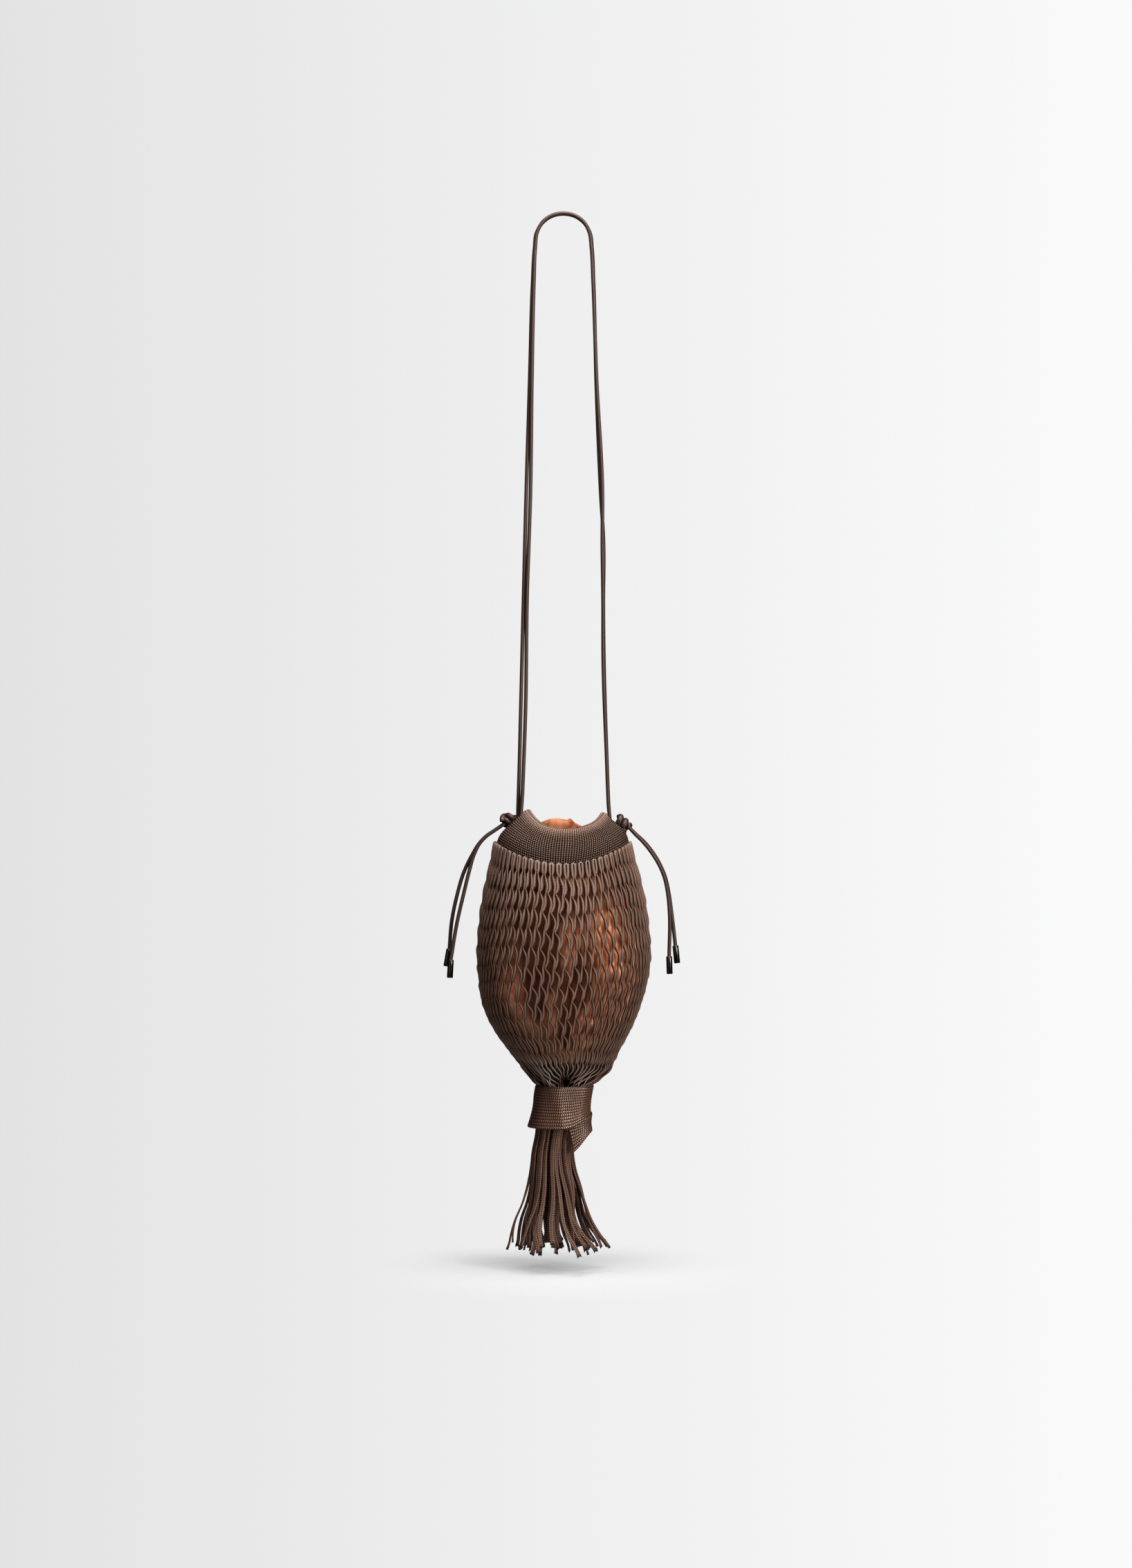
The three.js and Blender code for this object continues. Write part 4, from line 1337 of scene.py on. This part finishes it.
@dataclass
class Studio:
    """Pale sweep, soft lamps and the camera: level with the bag's middle, from far away."""

    lamps: tuple[StudioLamp, ...] = (
        StudioLamp("key_right", (1.4, -1.6, 0.1), (0, 0, -0.68), (0.5, 1.4), 68.0),
        StudioLamp("overhead", (0.1, -0.5, 1.0), (0, 0, -0.6), (1.4, 1.0), 74.0),
        StudioLamp("fill_left", (-1.6, -2.0, -0.2), (0, 0, -0.68), (0.8, 1.6), 4.0),
        # The light that a pale floor throws back up.
        StudioLamp("floor_bounce", (0.2, -0.6, -1.5), (0, 0, -0.8), (1.2, 0.6), 6.5),
    )
    camera_place: Point = (0.0016, -3.0, -0.5221)
    lens: float = 75.0
    sensor: float = 36.0
    floor_height: float = -0.969
    floor_radius: float = 0.9
    floor_sides: int = 64
    floor_colour: str = "#b4b2b3"
    # How solid the floor is under the tassel, and between which radii it fades out.
    floor_share: float = 0.6
    floor_fade: tuple[float, float] = (0.04, 0.2)
    surround: float = 0.05
    left_tone: str = "#e3e3e4"
    right_tone: str = "#fafafb"
    # The wall's tones change between these sideways parts of the view's direction.
    wall_reach: float = 0.17

    def camera(self) -> None:
        """A level camera that looks along the depth axis."""
        data = bpy.data.cameras.new("camera")
        data.sensor_width = self.sensor
        data.sensor_height = self.sensor
        data.lens = self.lens
        camera = bpy.data.objects.new("camera", data)
        camera.location = self.camera_place
        camera.rotation_euler = (math.pi / 2, 0, 0)
        bpy.context.scene.collection.objects.link(camera)
        bpy.context.scene.camera = camera

    def sweep(self) -> None:
        """The pale wall behind the bag, brighter at the right. It lights the bag a little, from all round."""
        world = bpy.data.worlds.new("studio")
        world.use_nodes = True
        tree = world.node_tree
        tree.nodes.clear()
        heading = add_node(tree, "ShaderNodeTexCoord").outputs["Object"]
        across = add_node(tree, "ShaderNodeSeparateXYZ", {0: heading}).outputs[0]
        side = {"Value": across, "From Min": -self.wall_reach, "From Max": self.wall_reach}
        share = add_node(tree, "ShaderNodeMapRange", side).outputs[0]
        tones = {0: share, 6: to_linear(self.left_tone), 7: to_linear(self.right_tone)}
        wall = add_node(tree, "ShaderNodeMix", tones, data_type="RGBA").outputs[2]
        seen = add_node(tree, "ShaderNodeBackground", {"Color": wall}).outputs[0]
        light = add_node(tree, "ShaderNodeBackground", {"Strength": self.surround}).outputs[0]
        ray = add_node(tree, "ShaderNodeLightPath").outputs["Is Camera Ray"]
        mixed = add_node(tree, "ShaderNodeMixShader", {0: ray, 1: light, 2: seen}).outputs[0]
        add_node(tree, "ShaderNodeOutputWorld", {"Surface": mixed})
        bpy.context.scene.world = world

    def floor(self) -> None:
        """A pale disc under the tassel that fades into the wall at its edge."""
        radius = self.floor_radius / MM
        count = self.floor_sides
        turn = np.arange(count) * TURN / count
        height = np.full(count, self.floor_height / MM)
        rim = np.column_stack([np.cos(turn) * radius, np.sin(turn) * radius, height])
        disc = make_piece("studio_floor", rim, [np.arange(count)[None]], [np.zeros((count, 2))])
        material, tree = new_material("Matt pale floor")
        place = add_node(tree, "ShaderNodeTexCoord").outputs["Object"]
        flat = add_node(tree, "ShaderNodeMapping", {"Vector": place, "Scale": (1.0, 1.0, 0.0)}).outputs[0]
        away = add_node(tree, "ShaderNodeVectorMath", {0: flat}, operation="LENGTH").outputs["Value"]
        near, far = self.floor_fade
        edge = {"Value": away, "From Min": near, "From Max": far, "To Min": self.floor_share, "To Max": 0.0}
        shown = add_node(tree, "ShaderNodeMapRange", edge, interpolation_type="SMOOTHSTEP").outputs[0]
        floor = {"Base Color": to_linear(self.floor_colour), "Roughness": 0.9, "Alpha": shown}
        close_material(tree, floor)
        disc.data.materials.append(material)

    def build(self) -> None:
        """Everything round the bag."""
        self.camera()
        self.sweep()
        self.floor()
        for lamp in self.lamps:
            lamp.hang()
        bpy.context.scene.view_settings.view_transform = "Standard"


def main() -> None:
    logging.basicConfig(level=logging.INFO, format="%(name)s %(message)s")
    Studio().build()
    # Viscose cord in dark brown: its stitch crowns carry a painted highlight like dull silk, and its gaps
    # painted shade.
    knit = StitchedYarn(
        "Knitted viscose cord", "#0c0200", "#8c6e5c", 0.0, 0.45,
        ribs=1.0, rib_depth=0.95, stitch_depth=0.9, narrow=2.2, gloss=0.45,
    ).material()
    # The same viscose in a fine braid: pale dashes painted as highlights on each rib, with painted shade at
    # its sides.
    braid = StitchedYarn(
        "Viscose braid", "#130401", "#9a7562", 0.0, 0.45,
        ribs=2.0, rib_depth=0.9, narrow=1.15, gloss=0.7, pale="#a8968b",
    ).material()
    # A denser, smoother knit, golden where it faces the lamp.
    ribbon = StitchedYarn(
        "Knitted viscose ribbon", "#24120b", "#84604e", 0.02, 0.34,
        ribs=1.0, rib_depth=0.8, relief=0.18, narrow=1.2, gloss=2.0,
    ).material()
    # Cut braid, a little darker, with ends sealed black by heat.
    fringe = StitchedYarn(
        "Cut viscose braid", "#28160f", "#8e6b5a", 0.0, 0.45, ribs=4.0, rib_depth=0.55
    ).material()
    # Terracotta nap that glows in the net's openings, with painted shade that turns it dark brown in its
    # folds.
    suede = SuedeCloth("Terracotta suede cloth", "#8a4428", "#de9068", "#260a03").material()
    # Near black wax over brown plaits, with a satin line of light along the cord.
    wax = WaxedCord("Waxed braided cord", "#1c1310", "#40302b").material()
    # A dark mirror with one bright line.
    nickel = BlackNickel("Polished black nickel", "#474540").material()
    DrawCordSet().build(wax, nickel)
    SuedeLining().build(suede)
    KnitCollar().build(knit)
    BraidNet().build(braid)
    WrapRibbon().build(ribbon)
    BraidTassel().build(fringe)


if __name__ == "__main__":
    main()
